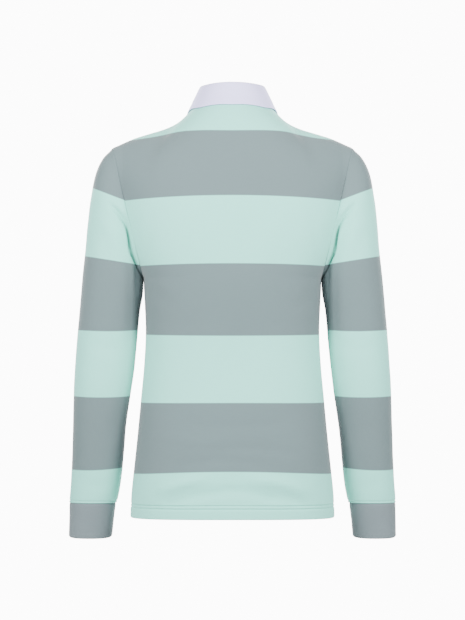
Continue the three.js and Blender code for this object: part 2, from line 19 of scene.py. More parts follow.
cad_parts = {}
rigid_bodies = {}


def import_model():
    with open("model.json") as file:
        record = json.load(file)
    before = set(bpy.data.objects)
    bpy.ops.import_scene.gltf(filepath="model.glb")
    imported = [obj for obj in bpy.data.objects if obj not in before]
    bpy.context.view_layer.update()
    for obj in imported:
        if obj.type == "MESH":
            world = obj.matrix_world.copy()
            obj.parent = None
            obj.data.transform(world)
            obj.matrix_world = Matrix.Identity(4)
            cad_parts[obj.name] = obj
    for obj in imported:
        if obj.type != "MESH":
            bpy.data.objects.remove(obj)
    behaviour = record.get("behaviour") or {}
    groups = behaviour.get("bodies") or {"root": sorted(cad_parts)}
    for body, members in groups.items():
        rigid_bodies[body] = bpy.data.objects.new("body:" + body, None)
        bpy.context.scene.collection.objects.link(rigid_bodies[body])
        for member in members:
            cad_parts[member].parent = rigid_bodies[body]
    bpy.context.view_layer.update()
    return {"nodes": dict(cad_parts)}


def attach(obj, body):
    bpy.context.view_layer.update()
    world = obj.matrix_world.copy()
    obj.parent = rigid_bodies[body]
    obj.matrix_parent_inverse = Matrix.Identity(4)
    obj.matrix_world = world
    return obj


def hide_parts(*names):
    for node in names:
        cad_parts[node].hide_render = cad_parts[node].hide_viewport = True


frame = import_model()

MM = 0.001
print("nodes in the frame:", sorted(frame["nodes"]))

# %% [markdown]
# ## Camera
# The shirt was photographed from behind, from far away with a long lens, so its edges hardly converge.
# A lens can be worked out from the distance and from how much of the scene the picture's long side
# takes in. That is better than turning the lens until it looks right, because it can be checked.

# %% Camera
PHOTO_HEIGHT_PX = 620
METRES_PER_PIXEL = 0.0017
CAMERA_DISTANCE = 5.0
CAMERA_HEIGHT = -0.347
SENSOR = 36.0

camera_data = bpy.data.cameras.new("camera")
camera_data.sensor_width = SENSOR
camera_data.lens = SENSOR * CAMERA_DISTANCE / (PHOTO_HEIGHT_PX * METRES_PER_PIXEL)
camera = bpy.data.objects.new("camera", camera_data)
camera.location = (0, CAMERA_DISTANCE, CAMERA_HEIGHT)
camera.rotation_euler = (math.radians(90), 0, math.radians(180))
bpy.context.collection.objects.link(camera)
bpy.context.scene.camera = camera
print("lens:", round(camera_data.lens, 1), "mm")

# %% [markdown]
# ## Studio
# Catalogue pictures of clothes have a white ground and almost no shadow. Light from beside the camera
# would give that, but it fills every fold, and the cloth looks flat. Here four softboxes stand at the
# sides, so that their light grazes the cloth and its folds show, and the room adds a little. The room is
# a clean white to the camera and dimmer to the cloth, so the ground stays white. The floor is well below
# the hem, because the light that bounces up from a near one would fill the folds again.

# %% Studio
FLOOR_HEIGHT = -1.35
FLOOR_RADIUS = 1.15
FLOOR_COLOUR = (0.7, 0.7, 0.7, 1)
ROOM_LIGHT = 0.75
GROUND_WHITE = 12.0
SOFTBOX_SIZE = 0.6
SOFTBOX_HEIGHT = 0.3

world = bpy.data.worlds.new("studio")
bpy.context.scene.world = world
world.use_nodes = True
world_nodes = world.node_tree.nodes
world_links = world.node_tree.links
background = world_nodes["Background"]
background.inputs["Color"].default_value = (1, 1, 1, 1)
seen = world_nodes.new("ShaderNodeLightPath")
level = world_nodes.new("ShaderNodeMapRange")
level.inputs["To Min"].default_value = ROOM_LIGHT
level.inputs["To Max"].default_value = GROUND_WHITE
world_links.new(seen.outputs["Is Camera Ray"], level.inputs["Value"])
world_links.new(level.outputs["Result"], background.inputs["Strength"])


def add_softbox(name, x, y, power):
    """A square area light beside the shirt, turned to its middle."""
    data = bpy.data.lights.new(name, "AREA")
    data.shape = "SQUARE"
    data.size = SOFTBOX_SIZE
    data.energy = power
    box = bpy.data.objects.new(name, data)
    box.location = (x, y, SOFTBOX_HEIGHT)
    aim = Vector((0, 0, CAMERA_HEIGHT)) - Vector((x, y, SOFTBOX_HEIGHT))
    box.rotation_mode = "QUATERNION"
    box.rotation_quaternion = aim.to_track_quat("-Z", "Y")
    bpy.context.collection.objects.link(box)


for name, side in (("right", -1), ("left", 1)):
    add_softbox(f"softbox_back_{name}", 1.0 * side, 1.25, 62)
    add_softbox(f"softbox_front_{name}", 0.8 * side, -1.4, 58)

bpy.ops.mesh.primitive_circle_add(
    vertices=96, radius=FLOOR_RADIUS, fill_type="NGON", location=(0, 0, FLOOR_HEIGHT)
)
floor = bpy.context.object
floor.name = "floor"
floor_material = bpy.data.materials.new("floor")
floor_material.use_nodes = True
floor_shader = floor_material.node_tree.nodes["Principled BSDF"]
floor_shader.inputs["Base Color"].default_value = FLOOR_COLOUR
floor_shader.inputs["Roughness"].default_value = 0.9
floor.data.materials.append(floor_material)
print("floor at", FLOOR_HEIGHT, "m")

# %% [markdown]
# ## Sizes and tables
# A pattern cutter works from a few sizes at named places. The tables below hold those: one row for each
# height of the body, or for each section of the sleeve. A smooth curve goes through the rows, so that
# any place between them can be read, and the cloth between two sizes has no corner. A panel's places are
# counted in steps: rows from the hem up to the shoulder, and columns from its middle out to the side.

# %% Sizes
NECK_STEPS = 7
SHOULDER_STEPS = 6
HALF_STEPS = NECK_STEPS + SHOULDER_STEPS
BODY_STEPS = 14
ARMHOLE_STEPS = 12
YOKE_STEPS = 5
TOP_ROW = BODY_STEPS + ARMHOLE_STEPS
YOKE_ROW = TOP_ROW - YOKE_STEPS
SHOULDER_SPACING = 1.15
SLEEVE_FULLNESS = 2.2
SLEEVE_SPACING = 1.15

NECK = dict(half_width=63, back=62, front=64, back_z=7, side_z=2, front_z=-72)
STAND = dict(half_width=52, back=56, front=58, back_z=32.5, side_z=28.5, front_z=-52)
NECK_FRONT_CURVE = 1.25
STAND_END_GAP = math.radians(2)


def make_table(columns, *rows):
    """A table with named columns, as a list of one dictionary for each row."""
    return [dict(zip(columns.split(), row)) for row in rows]


BODY = make_table(
    "z half_width back front back_rise front_rise fullness",
    (-698.4, 173.0, 113.0, 112.0, 2.0, 1.0, 2.4),
    (-660, 171.5, 113.0, 114.0, 5.0, 2.0, 2.4),
    (-620, 167.5, 110.0, 115.0, 7.5, 3.0, 2.4),
    (-560, 161.2, 103.0, 114.0, 4.0, 2.0, 2.4),
    (-500, 155.4, 96.0, 113.0, 1.4, 0.5, 2.4),
    (-440, 149.8, 92.0, 114.0, 0.0, -0.5, 2.4),
    (-385, 147.2, 93.0, 118.0, -1.0, -1.0, 2.4),
    (-330, 149.2, 99.8, 123.2, 1.5, -1.5, 2.4),
    (-292, 151.0, 104.2, 126.2, 3.0, -2.0, 2.4),
    (-230, 151.0, 108.4, 127.2, 4.5, -4.0, 2.4),
    (-180, 151.0, 108.2, 122.5, 7.0, -7.0, 2.4),
    (-149, 151.0, 105.6, 116.4, 8.0, -9.0, 2.4),
)

SHOULDER = make_table(
    "x z", (63, 2), (77, -15), (92, -28.5), (114, -39.5), (141, -48), (168, -56.5), (203, -72)
)

SECTION = "at outer_x outer_z inner_x inner_z y back front scoop"
ARMHOLE = make_table(SECTION, (0, 203, -72, 151, -292, 0, 50, 46, 12))[0]
SLEEVE = make_table(
    SECTION,
    (0.000, 203.0, -72, 151.0, -292, 0, 50, 46, 12),
    (0.050, 221.0, -90, 151.2, -296, 0, 54, 52, 8),
    (0.100, 233.5, -117, 151.2, -300, 0, 56, 56, 4),
    (0.160, 240.5, -155, 151.2, -305, -1, 57, 58, 1),
    (0.240, 246.0, -200, 151.5, -312, -2, 57, 59, 0),
    (0.320, 250.5, -250, 152.8, -324, -3, 57, 59, 0),
    (0.420, 257.0, -312, 157.5, -350, -5, 55, 58, 0),
    (0.520, 264.0, -388, 162.5, -400, -8, 52, 54, 0),
    (0.620, 269.5, -462, 169.5, -465, -12, 49, 50, 0),
    (0.740, 272.5, -546, 181.5, -546, -20, 44, 45, 0),
    (0.870, 276.0, -630, 189.2, -630, -30, 38, 38, 0),
    (0.975, 279.0, -669, 196.2, -669, -36, 34, 34, 0),
    (1.000, 279.2, -676, 198.4, -676, -37, 32, 32, 0),
)
CUFF = make_table(
    SECTION,
    (0.0, 279.2, -676, 199.4, -676, -37, 32, 32, 0),
    (0.5, 279.8, -705, 203.0, -705, -41, 30, 30, 0),
    (1.0, 280.6, -735, 206.4, -735, -45, 29, 29, 0),
)


def mix(low, high, share):
    return low + (high - low) * share


def clamp(value, low, high):
    return min(high, max(low, value))


def signed_power(value, exponent):
    return math.copysign(abs(value) ** exponent, value)


def read_table(table, key, place):
    """Every column of a table at one place, on a smooth curve through its rows."""
    last = len(table) - 1
    row = next((i for i in range(last) if place <= table[i + 1][key]), last - 1)
    start, end = table[row], table[row + 1]
    before, after = table[max(row - 1, 0)], table[min(row + 2, last)]
    span = end[key] - start[key]
    share = clamp((place - start[key]) / span, 0, 1)
    bend = share * share * (3 - 2 * share)
    found = {}
    for column in start:
        slope_in = (end[column] - before[column]) / (end[key] - before[key]) * span
        slope_out = (after[column] - start[column]) / (after[key] - start[key]) * span
        found[column] = mix(start[column], end[column], bend)
        found[column] += slope_in * share * (1 - share) ** 2
        found[column] -= slope_out * share * share * (1 - share)
    return found


print("chest half width:", round(read_table(BODY, "z", -300)["half_width"], 1), "mm")

# %% [markdown]
# ## The body's form
# The back and the front are cut flat and only become round once they are sewn together. They could be
# draped by a cloth simulation, but the photographed shirt hangs smooth and filled, so a worked-out form
# is closer to it. Each cross row follows the knitted courses: a squarish oval, a bit higher or lower in
# its middle than at the side seam. Above the armhole's middle the cloth bends over to the shoulder and
# neck, along curves that leave the row upright and arrive at the slope of the shoulder.

# %% Points of the body
SLIT_HALF_WIDTH = 16
YOKE_ANGLE = math.radians(180 / ARMHOLE_STEPS * YOKE_STEPS)
YOKE = {
    "back": dict(neck_fall=1.0, side_fall=0.8, arm=0.52),
    "front": dict(neck_fall=1.6, side_fall=0.8, arm=0.48),
}
YOKE_SHOULDER_FALL = 0.1
YOKE_SHOULDER_STEPS = 3
YOKE_FLARE = 0.33


def ring_point(section, angle, fullness):
    """A point on a section's ring: angle 0 is its outer point, and it runs over the back."""
    along = signed_power(math.cos(angle), 2 / fullness)
    across = signed_power(math.sin(angle), 2 / fullness)
    reach = section["back"] if across > 0 else section["front"]
    scoop = section["scoop"] * across ** 3 if across < 0 else 0
    share = (1 + along) / 2
    x = mix(section["inner_x"], section["outer_x"], share) + scoop
    z = mix(section["inner_z"], section["outer_z"], share)
    return np.array((x, section["y"] + reach * across, z))


def armhole_point(face, angle):
    return ring_point(ARMHOLE, angle if face == "back" else -angle, SLEEVE_FULLNESS)


def neck_loop(loop, turn):
    """A loop round the neck: turn 0 is the middle of the back, and half a turn the middle in front."""
    across, along = math.sin(turn), math.cos(turn)
    if along > 0:
        height = mix(loop["side_z"], loop["back_z"], along * along)
        return np.array((loop["half_width"] * across, loop["back"] * along, height))
    height = mix(loop["side_z"], loop["front_z"], abs(along) ** NECK_FRONT_CURVE)
    return np.array((loop["half_width"] * across, loop["front"] * along, height))


def neck_turn(face, column):
    """The turn round the neck that a panel's column reaches."""
    quarter = math.pi / 2
    if face == "back":
        return column / NECK_STEPS * quarter
    slit = math.asin(SLIT_HALF_WIDTH / NECK["half_width"])
    if column < 1:
        return math.pi - slit * column
    return math.pi - mix(slit, quarter, (column - 1) / (NECK_STEPS - 1))


@lru_cache(maxsize=None)
def top_edge(face, column):
    """The upper edge of a panel: the neck seam and then the shoulder seam."""
    if column <= NECK_STEPS:
        return neck_loop(NECK, neck_turn(face, column))
    share = (column - NECK_STEPS) / SHOULDER_STEPS
    x = mix(NECK["half_width"], ARMHOLE["outer_x"], share ** SHOULDER_SPACING)
    return np.array((x, 0, read_table(SHOULDER, "x", x)["z"]))


def row_point(face, row, edge, column):
    """A point on a cross row, from the panel's middle to its edge point."""
    depth = row[face]
    side = 1 if face == "back" else -1
    power = 2 / row["fullness"]
    edge_angle = math.acos((abs(edge[1]) / depth) ** (1 / power))
    full_width = edge[0] / math.sin(edge_angle) ** power
    if face == "back":
        angle = edge_angle * column / HALF_STEPS
        x = full_width * math.sin(angle) ** power
    elif column < 1:
        x = SLIT_HALF_WIDTH * column
        angle = math.asin((x / full_width) ** (1 / power))
    else:
        slit = math.asin((SLIT_HALF_WIDTH / full_width) ** (1 / power))
        angle = mix(slit, edge_angle, (column - 1) / (HALF_STEPS - 1))
        x = full_width * math.sin(angle) ** power
    y = side * depth * signed_power(math.cos(angle), power)
    rise = row[face + "_rise"] * (1 - (x / edge[0]) ** 2)
    return np.array((x, y, edge[2] + rise))


@lru_cache(maxsize=None)
def yoke_foot(face, column):
    edge = armhole_point(face, YOKE_ANGLE)
    return row_point(face, read_table(BODY, "z", edge[2]), edge, column)


def yoke_fall(face, column):
    shape = YOKE[face]
    if column <= NECK_STEPS:
        return mix(shape["neck_fall"], shape["side_fall"], (column / NECK_STEPS) ** 2)
    share = clamp((column - NECK_STEPS) / YOKE_SHOULDER_STEPS, 0, 1)
    return mix(shape["side_fall"], YOKE_SHOULDER_FALL, share)


def yoke_column_point(face, column, share):
    """A point on one upright curve of the yoke, from the yoke row up to the top edge."""
    start, end = yoke_foot(face, column), top_edge(face, column)
    arm = YOKE[face]["arm"]
    reach = arm * (start[1] - end[1])
    first = np.array((start[0], start[1], mix(start[2], end[2], arm)))
    flare = mix(end[0], start[0], YOKE_FLARE)
    second = np.array((flare, end[1] + reach, end[2] - abs(reach) * yoke_fall(face, column)))
    rest = 1 - share
    return (
        rest ** 3 * start + 3 * rest * rest * share * first
        + 3 * rest * share * share * second + share ** 3 * end
    )


def yoke_point(face, column, share):
    edge = armhole_point(face, YOKE_ANGLE * (1 - share))
    pull = edge - yoke_column_point(face, HALF_STEPS, share)
    return yoke_column_point(face, column, share) + pull * (column / HALF_STEPS) ** 3


def panel_point(face, column, row):
    """A point of the back or front on the wearer's left. Row 0 is the hem."""
    if row <= BODY_STEPS:
        z = mix(BODY[0]["z"], ARMHOLE["inner_z"], row / BODY_STEPS)
        entry = read_table(BODY, "z", z)
        return row_point(face, entry, (entry["half_width"], 0, z), column)
    if row <= YOKE_ROW:
        edge = armhole_point(face, math.radians(180 - 180 / ARMHOLE_STEPS * (row - BODY_STEPS)))
        return row_point(face, read_table(BODY, "z", edge[2]), edge, column)
    return yoke_point(face, column, (row - YOKE_ROW) / YOKE_STEPS)


print("back of the neck:", panel_point("back", 0, TOP_ROW), "mm")

# %% [markdown]
# ## A sheet of cloth
# Every cloth piece is a grid of points on its right side. It could be a subdivided plane that is pushed
# into place, but a grid made in code can carry two things that follow the cloth: a UV map in real
# metres, for the knit, and a number that counts the stripes. The Solidify modifier then gives the wall,
# inwards, and a vertex group makes it thicker where the cloth is turned under and doubled.

# %% Grids of points
SEAM_CLEARANCE = 0.06


def unit(vectors):
    size = np.linalg.norm(vectors, axis=-1, keepdims=True)
    return vectors / np.maximum(size, 1e-9)


def close_round(grid):
    """A grid with its first column repeated at the end, for a tube."""
    return np.concatenate([grid, grid[:, :1]], axis=1)


def grid_normals(points, closed=False):
    """The way a grid of points faces, before it is known which side is out."""
    if closed:
        wrapped = np.concatenate([points[:, -1:], points, points[:, :1]], axis=1)
        across = (wrapped[:, 2:] - wrapped[:, :-2]) / 2
    else:
        across = np.gradient(points, axis=1)
    return unit(np.cross(across, np.gradient(points, axis=0)))


def arc_lengths(points, axis):
    """How far along the cloth each point lies from the first one on its row or column."""
    steps = np.linalg.norm(np.diff(points, axis=axis), axis=-1)
    total = np.cumsum(steps, axis=axis)
    start = np.zeros_like(np.take(total, [0], axis=axis))
    return np.concatenate([start, total], axis=axis)


def middle_line(points, drop=20):
    """The body's middle line a little below each point, from which the cloth faces away."""
    line = np.zeros_like(points)
    line[..., 2] = points[..., 2] - drop
    return line


def pull_in(edge, inner):
    """Moves an edge of a grid in towards the line beside it, clear of the piece it is sewn to."""
    edge += unit(inner - edge) * SEAM_CLEARANCE


class Sheet:
    """A grid of right-side points in millimetres, and what its cloth carries."""

    def __init__(self, points, out_from, closed=False):
        self.points = np.array(points, dtype=float)
        self.closed = closed
        normals = grid_normals(self.points, closed)
        outwards = self.points - out_from
        self.turned = float(np.sum(normals * outwards)) < 0
        self.normals = -normals if self.turned else normals
        self.u = None
        self.v = None
        self.band = None
        self.double = np.zeros(self.points.shape[:2])
        self.keep = None

    def press(self, height):
        """Moves the points along their normals, up for a ridge and down for a trough."""
        self.points = self.points + self.normals * height[..., None]
        normals = grid_normals(self.points, self.closed)
        self.normals = -normals if self.turned else normals

    def grid(self):
        """Its points, all the way round on a tube."""
        return close_round(self.points) if self.closed else self.points

    def area(self):
        """Its area in square metres."""
        grid = self.grid()
        crossed = np.cross(grid[1:, 1:] - grid[:-1, :-1], grid[1:, :-1] - grid[:-1, 1:])
        cells = np.linalg.norm(crossed, axis=-1) / 2
        if self.keep is not None:
            cells = cells * self.keep
        return float(cells.sum()) * MM * MM


print("seams lie", SEAM_CLEARANCE, "mm clear")

# %% Pieces from sheets
CLOTH_THICKNESS = 1.1
DOUBLE_THICKNESS = 2.1
SHARPEST_SMOOTH = math.radians(50)


def sheet_mesh(name, sheet):
    """A mesh from a sheet, with its UV map and stripe count."""
    rows, columns = sheet.points.shape[:2]
    around = columns if sheet.closed else columns - 1
    faces = []
    corners = []
    for row in range(rows - 1):
        for column in range(around):
            if sheet.keep is not None and not sheet.keep[row, column]:
                continue
            places = [(row, column), (row, column + 1), (row + 1, column + 1), (row + 1, column)]
            if sheet.turned:
                places.reverse()
            faces.append([place[0] * columns + place[1] % columns for place in places])
            corners.extend(places)
    mesh = bpy.data.meshes.new(name)
    mesh.from_pydata((sheet.points.reshape(-1, 3) * MM).tolist(), [], faces)
    uv = mesh.uv_layers.new(name="cloth")
    at = tuple(np.array(corners).T)
    uv.data.foreach_set("uv", (np.stack([sheet.u[at], sheet.v[at]], axis=-1) * MM).ravel())
    if sheet.band is not None:
        band = mesh.attributes.new("band", "FLOAT", "POINT")
        band.data.foreach_set("value", sheet.band.ravel())
    return mesh


def make_piece(name, sheet, material, thickness):
    """A piece of cloth with a wall: as thick as asked, and thicker where the sheet is doubled."""
    mesh = sheet_mesh(name, sheet)
    piece = bpy.data.objects.new(name, mesh)
    bpy.context.collection.objects.link(piece)
    piece.data.materials.append(material)
    group = piece.vertex_groups.new(name="layers")
    for index, share in enumerate(sheet.double.ravel()):
        group.add([index], mix(thickness / DOUBLE_THICKNESS, 1.0, share), "REPLACE")
    loose = bmesh.new()
    loose.from_mesh(mesh)
    bmesh.ops.delete(loose, geom=[v for v in loose.verts if not v.link_faces], context="VERTS")
    loose.to_mesh(mesh)
    loose.free()
    wall = piece.modifiers.new("wall", "SOLIDIFY")
    wall.thickness = DOUBLE_THICKNESS * MM
    wall.offset = -1
    wall.use_quality_normals = True
    wall.vertex_group = "layers"
    finish_piece(piece)
    return piece


def finish_piece(piece):
    """Applies a piece's modifiers, smooths it and lets it ride on the shirt's one body."""
    bpy.ops.object.select_all(action="DESELECT")
    piece.select_set(True)
    bpy.context.view_layer.objects.active = piece
    for modifier in list(piece.modifiers):
        bpy.ops.object.modifier_apply(modifier=modifier.name)
    bpy.ops.object.shade_smooth_by_angle(angle=SHARPEST_SMOOTH)
    piece.select_set(False)
    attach(piece, "root")


def declare_sheet(piece, sheet):
    """Prints the cut of what shows: its greatest width and length, and its area."""
    width = float(arc_lengths(sheet.grid(), 1)[:, -1].max()) * MM
    length = float(arc_lengths(sheet.grid(), 0)[-1].max()) * MM
    area = min(sheet.area(), width * length)
    print(f"{piece.name}: cut {width:.3f} x {length:.3f} m, {area:.4f} square metres")


def add_cloth(name, node, sheet, material, thickness=CLOTH_THICKNESS):
    """Makes a sheet's piece, puts it in its node's place and prints its cut."""
    piece = make_piece(name, sheet, material, thickness)
    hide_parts(node)
    declare_sheet(piece, sheet)


print("cloth wall:", CLOTH_THICKNESS, "mm, doubled:", DOUBLE_THICKNESS, "mm")

# %% [markdown]
# ## Creases
# Real cloth is never as smooth as a worked-out form. The few large creases are listed one by one, each as a
# line that the eye can follow in the picture, with a width and a depth. Troughs are negative, and a side
# of -1 mirrors a crease to the wearer's right. A crease fades at both its ends. Very soft waves, from
# noise, run under them all, so that no stretch of cloth is perfectly even.

# %% Tables of creases
BODY_CREASES = make_table(
    "face side places width depth",
    ("back", 1, ((119, -650), (84, -637), (46, -628)), 8.5, 7.0),
    ("back", -1, ((30, -629), (78, -636), (121, -651)), 8.5, 7.0),
    ("back", 1, ((107, -669), (47, -654), (-9, -648), (-69, -660)), 7, -3.8),
    ("back", -1, ((50, -660), (90, -662), (124, -672)), 7, -2.8),
    ("back", 1, ((92, -605), (20, -597), (-60, -603)), 8, -1.6),
    ("back", 1, ((118, -560), (60, -567), (8, -562)), 8, 1.2),
    ("back", 1, ((40, -583), (-30, -578), (-112, -586)), 8, -1.4),
    ("back", 1, ((80, -536), (-10, -541), (-90, -536)), 9, -1.0),
    ("back", 1, ((146, -300), (128, -322), (100, -338)), 11, -1.2),
    ("back", -1, ((147, -304), (126, -330), (96, -342)), 12, -1.1),
    ("back", 1, ((148, -250), (140, -215), (134, -178)), 9, -0.9),
    ("back", -1, ((148, -246), (139, -212), (134, -180)), 9, -0.9),
    ("front", 1, ((120, -640), (90, -626), (55, -622)), 13, 1.8),
    ("front", -1, ((112, -634), (80, -622), (48, -624)), 13, 1.6),
    ("front", 1, ((112, -664), (50, -650), (-20, -646), (-80, -660)), 12, -2.0),
    ("front", 1, ((147, -272), (120, -246), (92, -222)), 10, -2.4),
    ("front", -1, ((147, -268), (122, -240), (98, -216)), 10, -2.2),
    ("front", 1, ((148, -300), (116, -290), (84, -292)), 12, -1.4),
    ("front", -1, ((148, -304), (118, -296), (90, -300)), 12, -1.2),
    ("front", 1, ((96, -520), (10, -530), (-80, -522)), 13, 0.8),
    ("front", 1, ((70, -556), (-20, -560), (-100, -552)), 12, -0.8),
)
SLEEVE_CREASES = make_table(
    "face side places width depth",
    ("back", 1, ((204, -172), (192, -183), (180, -198), (171, -218), (168, -242)), 4.2, -8.0),
    ("back", 1, ((173, -208), (169, -230), (167, -248), (161, -260), (153, -272)), 3.4, -9.0),
    ("back", 1, ((188, -196), (176, -222), (172, -246), (164, -272)), 14, -4.5),
    ("back", 1, ((214, -196), (202, -220), (196, -250)), 12, 1.8),
    ("back", 1, ((160, -262), (159, -290), (159, -330), (162, -392)), 4, -5.2),
    ("back", 1, ((168, -266), (168, -320), (170, -390)), 13, -4.0),
    ("back", 1, ((186, -272), (178, -330), (182, -400)), 12, 0.8),
    ("back", 1, ((240, -404), (215, -412), (184, -408)), 11, -0.9),
    ("back", 1, ((250, -640), (228, -646), (206, -642)), 9, -0.7),
    ("front", 1, ((203, -182), (184, -212), (168, -264)), 9, -3.6),
    ("front", 1, ((176, -430), (200, -424), (228, -412)), 10, -2.6),
    ("front", 1, ((180, -470), (206, -468), (234, -460)), 10, -2.6),
    ("front", 1, ((182, -450), (205, -446), (232, -436)), 10, 1.6),
    ("front", 1, ((196, -606), (222, -612), (250, -606)), 9, -1.2),
    ("front", 1, ((200, -642), (226, -646), (258, -642)), 8, -1.0),
)

print("creases placed by hand:", len(BODY_CREASES) + len(SLEEVE_CREASES))

# %% Pressing a form into a sheet
CREASE_SAMPLES = 56
CREASE_ENDS = (0.08, 0.92)
WAVE = "seed size amount"
WAVE_STEPS = (7.3, 3.1, 5.7)
RIDGE = "place height width"


def pad_guides(guides):
    """Guide points with one more at each end, so that a curve reaches from the first to the last."""
    return np.concatenate([2 * guides[:1] - guides[1:2], guides, 2 * guides[-1:] - guides[-2:-1]])


def curve_point(padded, index, t):
    """A point on a smooth curve through guide points, at a share t of the stretch of that index."""
    a, b, c, d = padded[index:index + 4]
    return 0.5 * (
        2 * b + (c - a) * t + (2 * a - 5 * b + 4 * c - d) * t * t + (3 * b - a - 3 * c + d) * t ** 3
    )


def crease_line(places):
    """Points along a smooth curve through a crease's places."""
    padded = pad_guides(np.array(places, dtype=float))
    line = []
    for share in np.linspace(0, 1, CREASE_SAMPLES):
        at = share * (len(places) - 1)
        index = min(int(at), len(places) - 2)
        line.append(curve_point(padded, index, at - index))
    return np.array(line)


def crease_heights(points, normals, creases, face=None, mirrored=1):
    """How far each point of a sheet is pressed by the creases near it."""
    facing = np.where(normals[..., 1] > 0, "back", "front")
    strength = np.sin(np.pi * mix(*CREASE_ENDS, np.linspace(0, 1, CREASE_SAMPLES))) ** 0.8
    height = np.zeros(points.shape[:2])
    for crease in creases:
        if face and crease["face"] != face:
            continue
        line = crease_line(crease["places"])
        away_x = (points[..., 0] * mirrored * crease["side"])[..., None] - line[:, 0]
        away_z = points[..., 2][..., None] - line[:, 1]
        near = np.exp(-(away_x ** 2 + away_z ** 2) / crease["width"] ** 2)
        pressed = (near * strength).max(axis=-1) * crease["depth"]
        height += pressed if face else np.where(facing == crease["face"], pressed, 0)
    return height * np.clip(np.abs(normals[..., 1]) * 1.6, 0, 1)


def soft_waves(points, waves, shift=0):
    """Very low, broad waves in the cloth, one layer of noise for each row of a table."""
    height = np.zeros(points.shape[:2])
    for wave in waves:
        offset = Vector([step * (wave["seed"] + shift) for step in WAVE_STEPS])
        values = [noise.noise(Vector(point) / wave["size"] + offset) for point in points.reshape(-1, 3)]
        height += np.array(values).reshape(height.shape) * wave["amount"]
    return height


def fade(distance, width):
    """0 on an edge, and close to 1 from about two widths away."""
    return 1 - np.exp(-(distance / width) ** 2)


def ridge(distance, place, height, width, power=2):
    """A low ridge along an edge, at a distance from it. A negative height gives a groove."""
    return height * np.exp(-((distance - place) / width) ** power)


def ridges(distance, table):
    """All the ridges and grooves of a table, one beside the other along an edge."""
    return sum(ridge(distance, **row) for row in table)


def seam_puff(distance, height, width=2.6):
    """The low ridge beside a seam: nothing on the seam itself, and nothing far from it."""
    return fade(distance, 0.45 * width) * ridge(distance, 0, height, 1.7 * width)


print("samples on each crease:", CREASE_SAMPLES)

# %% [markdown]
# ## Where the stripes fall
# The stripes are knitted in, so they follow the courses and not a level line in space. A number counts
# them: it goes up by one at each change of colour, from the neck down. On the body the changes are read
# as heights at the side seam. Over the back's shoulders the first change is a line that dips outwards,
# and on the front it follows the cloth, one band above the next change. On the sleeve the changes are
# tilted at the top, so that they meet the body's stripes at the back armhole.

# %% Stripe counts
BAND_HEIGHT = 112.0
COUNT_MARGIN = 0.05
STRIPE_EDGES = (-163.4, -272.4, -389.0, -503.4, -623.9)
SHOULDER_CHANGE = make_table(
    "x z", (0, -46.8), (77, -46.8), (118, -52.2), (142, -56.2), (171, -59.1), (203, -60.5)
)
SLEEVE_CHANGES = make_table(
    "inner middle outer",
    (-174.0, -157.0, -140.5),
    (-271.5, -263.5, -255.5),
    (-381.5, -383.0, -381.0),
    (-493.0, -494.5, -493.0),
    (-615.5, -619.0, -619.0),
)


def count_between(z, changes):
    """The count at a height, from the heights of the second and later changes of colour."""
    heights = [changes[0] + BAND_HEIGHT] + list(changes) + [changes[-1] - BAND_HEIGHT]
    return float(np.interp(-z, [-height for height in heights], range(1, len(heights) + 1)))


def body_count(level):
    """The count on the body at a level of the side seam, below the yoke."""
    return count_between(level, STRIPE_EDGES)


def yoke_count(x, z):
    """The count over the back's shoulders, where the first change is a line of its own."""
    change = read_table(SHOULDER_CHANGE, "x", min(abs(x), ARMHOLE["outer_x"]))["z"]
    return clamp(1 + (change - z) / BAND_HEIGHT, COUNT_MARGIN, 2 - COUNT_MARGIN)


def sleeve_share(x, z):
    """How far across a sleeve a place lies, from 0 at its inner edge to 1 at its outer one."""
    inner = np.interp(-z, [-row["inner_z"] for row in SLEEVE], [row["inner_x"] for row in SLEEVE])
    outer = np.interp(-z, [-row["outer_z"] for row in SLEEVE], [row["outer_x"] for row in SLEEVE])
    return clamp((abs(x) - inner) / (outer - inner), 0, 1)


def sleeve_count(x, z):
    """The count on a sleeve, where each change of colour is a line that dips or bows a little."""
    share = sleeve_share(x, z)
    heights = []
    for change in SLEEVE_CHANGES:
        bow = change["middle"] - (change["inner"] + change["outer"]) / 2
        heights.append(mix(change["inner"], change["outer"], share) + 4 * bow * share * (1 - share))
    return clamp(count_between(z, heights), 1 + COUNT_MARGIN, len(heights) + 2 - COUNT_MARGIN)


print("stripe changes on the body:", len(STRIPE_EDGES) + 1)

# %% [markdown]
# ## Cloth finishes
# Three things make this shirt look like itself: the yarn colours, the heavy jersey knit, and the matt,
# slightly hairy surface of cotton. Each effect is a node group, built once. The bands turn the stripe
# count into a mask. The jersey draws the small V shapes of plain knit from the UV map, so they bend and
# lean with the cloth, and the cuffs take the same knit in a finer size. The twill does it for the collar
# and the placket. Both weaves also paint shade into the colour: darker where the yarn lies low between
# loops or ribs, and a little lighter on their tops. The dye group breaks up the colour with flecks and
# slow patches, as in real yarn.

# %% Node helpers
def new_group(name, inputs, outputs):
    """An empty shader group with named sockets, each given as a name, a kind and a value."""
    group = bpy.data.node_groups.new(name, "ShaderNodeTree")
    for label, kind, value in inputs:
        socket = group.interface.new_socket(label, in_out="INPUT", socket_type="NodeSocket" + kind)
        if value is not None:
            socket.default_value = value
    for label, kind in outputs:
        group.interface.new_socket(label, in_out="OUTPUT", socket_type="NodeSocket" + kind)
    start = group.nodes.new("NodeGroupInput")
    end = group.nodes.new("NodeGroupOutput")
    return group, start, end


def feed(tree, socket, value):
    """Links a value that is a socket, or sets a value that is a number."""
    if isinstance(value, bpy.types.NodeSocket):
        tree.links.new(value, socket)
    else:
        socket.default_value = value


def calculate(tree, operation, *values):
    node = tree.nodes.new("ShaderNodeMath")
    node.operation = operation
    for index, value in enumerate(values):
        feed(tree, node.inputs[index], value)
    return node.outputs[0]


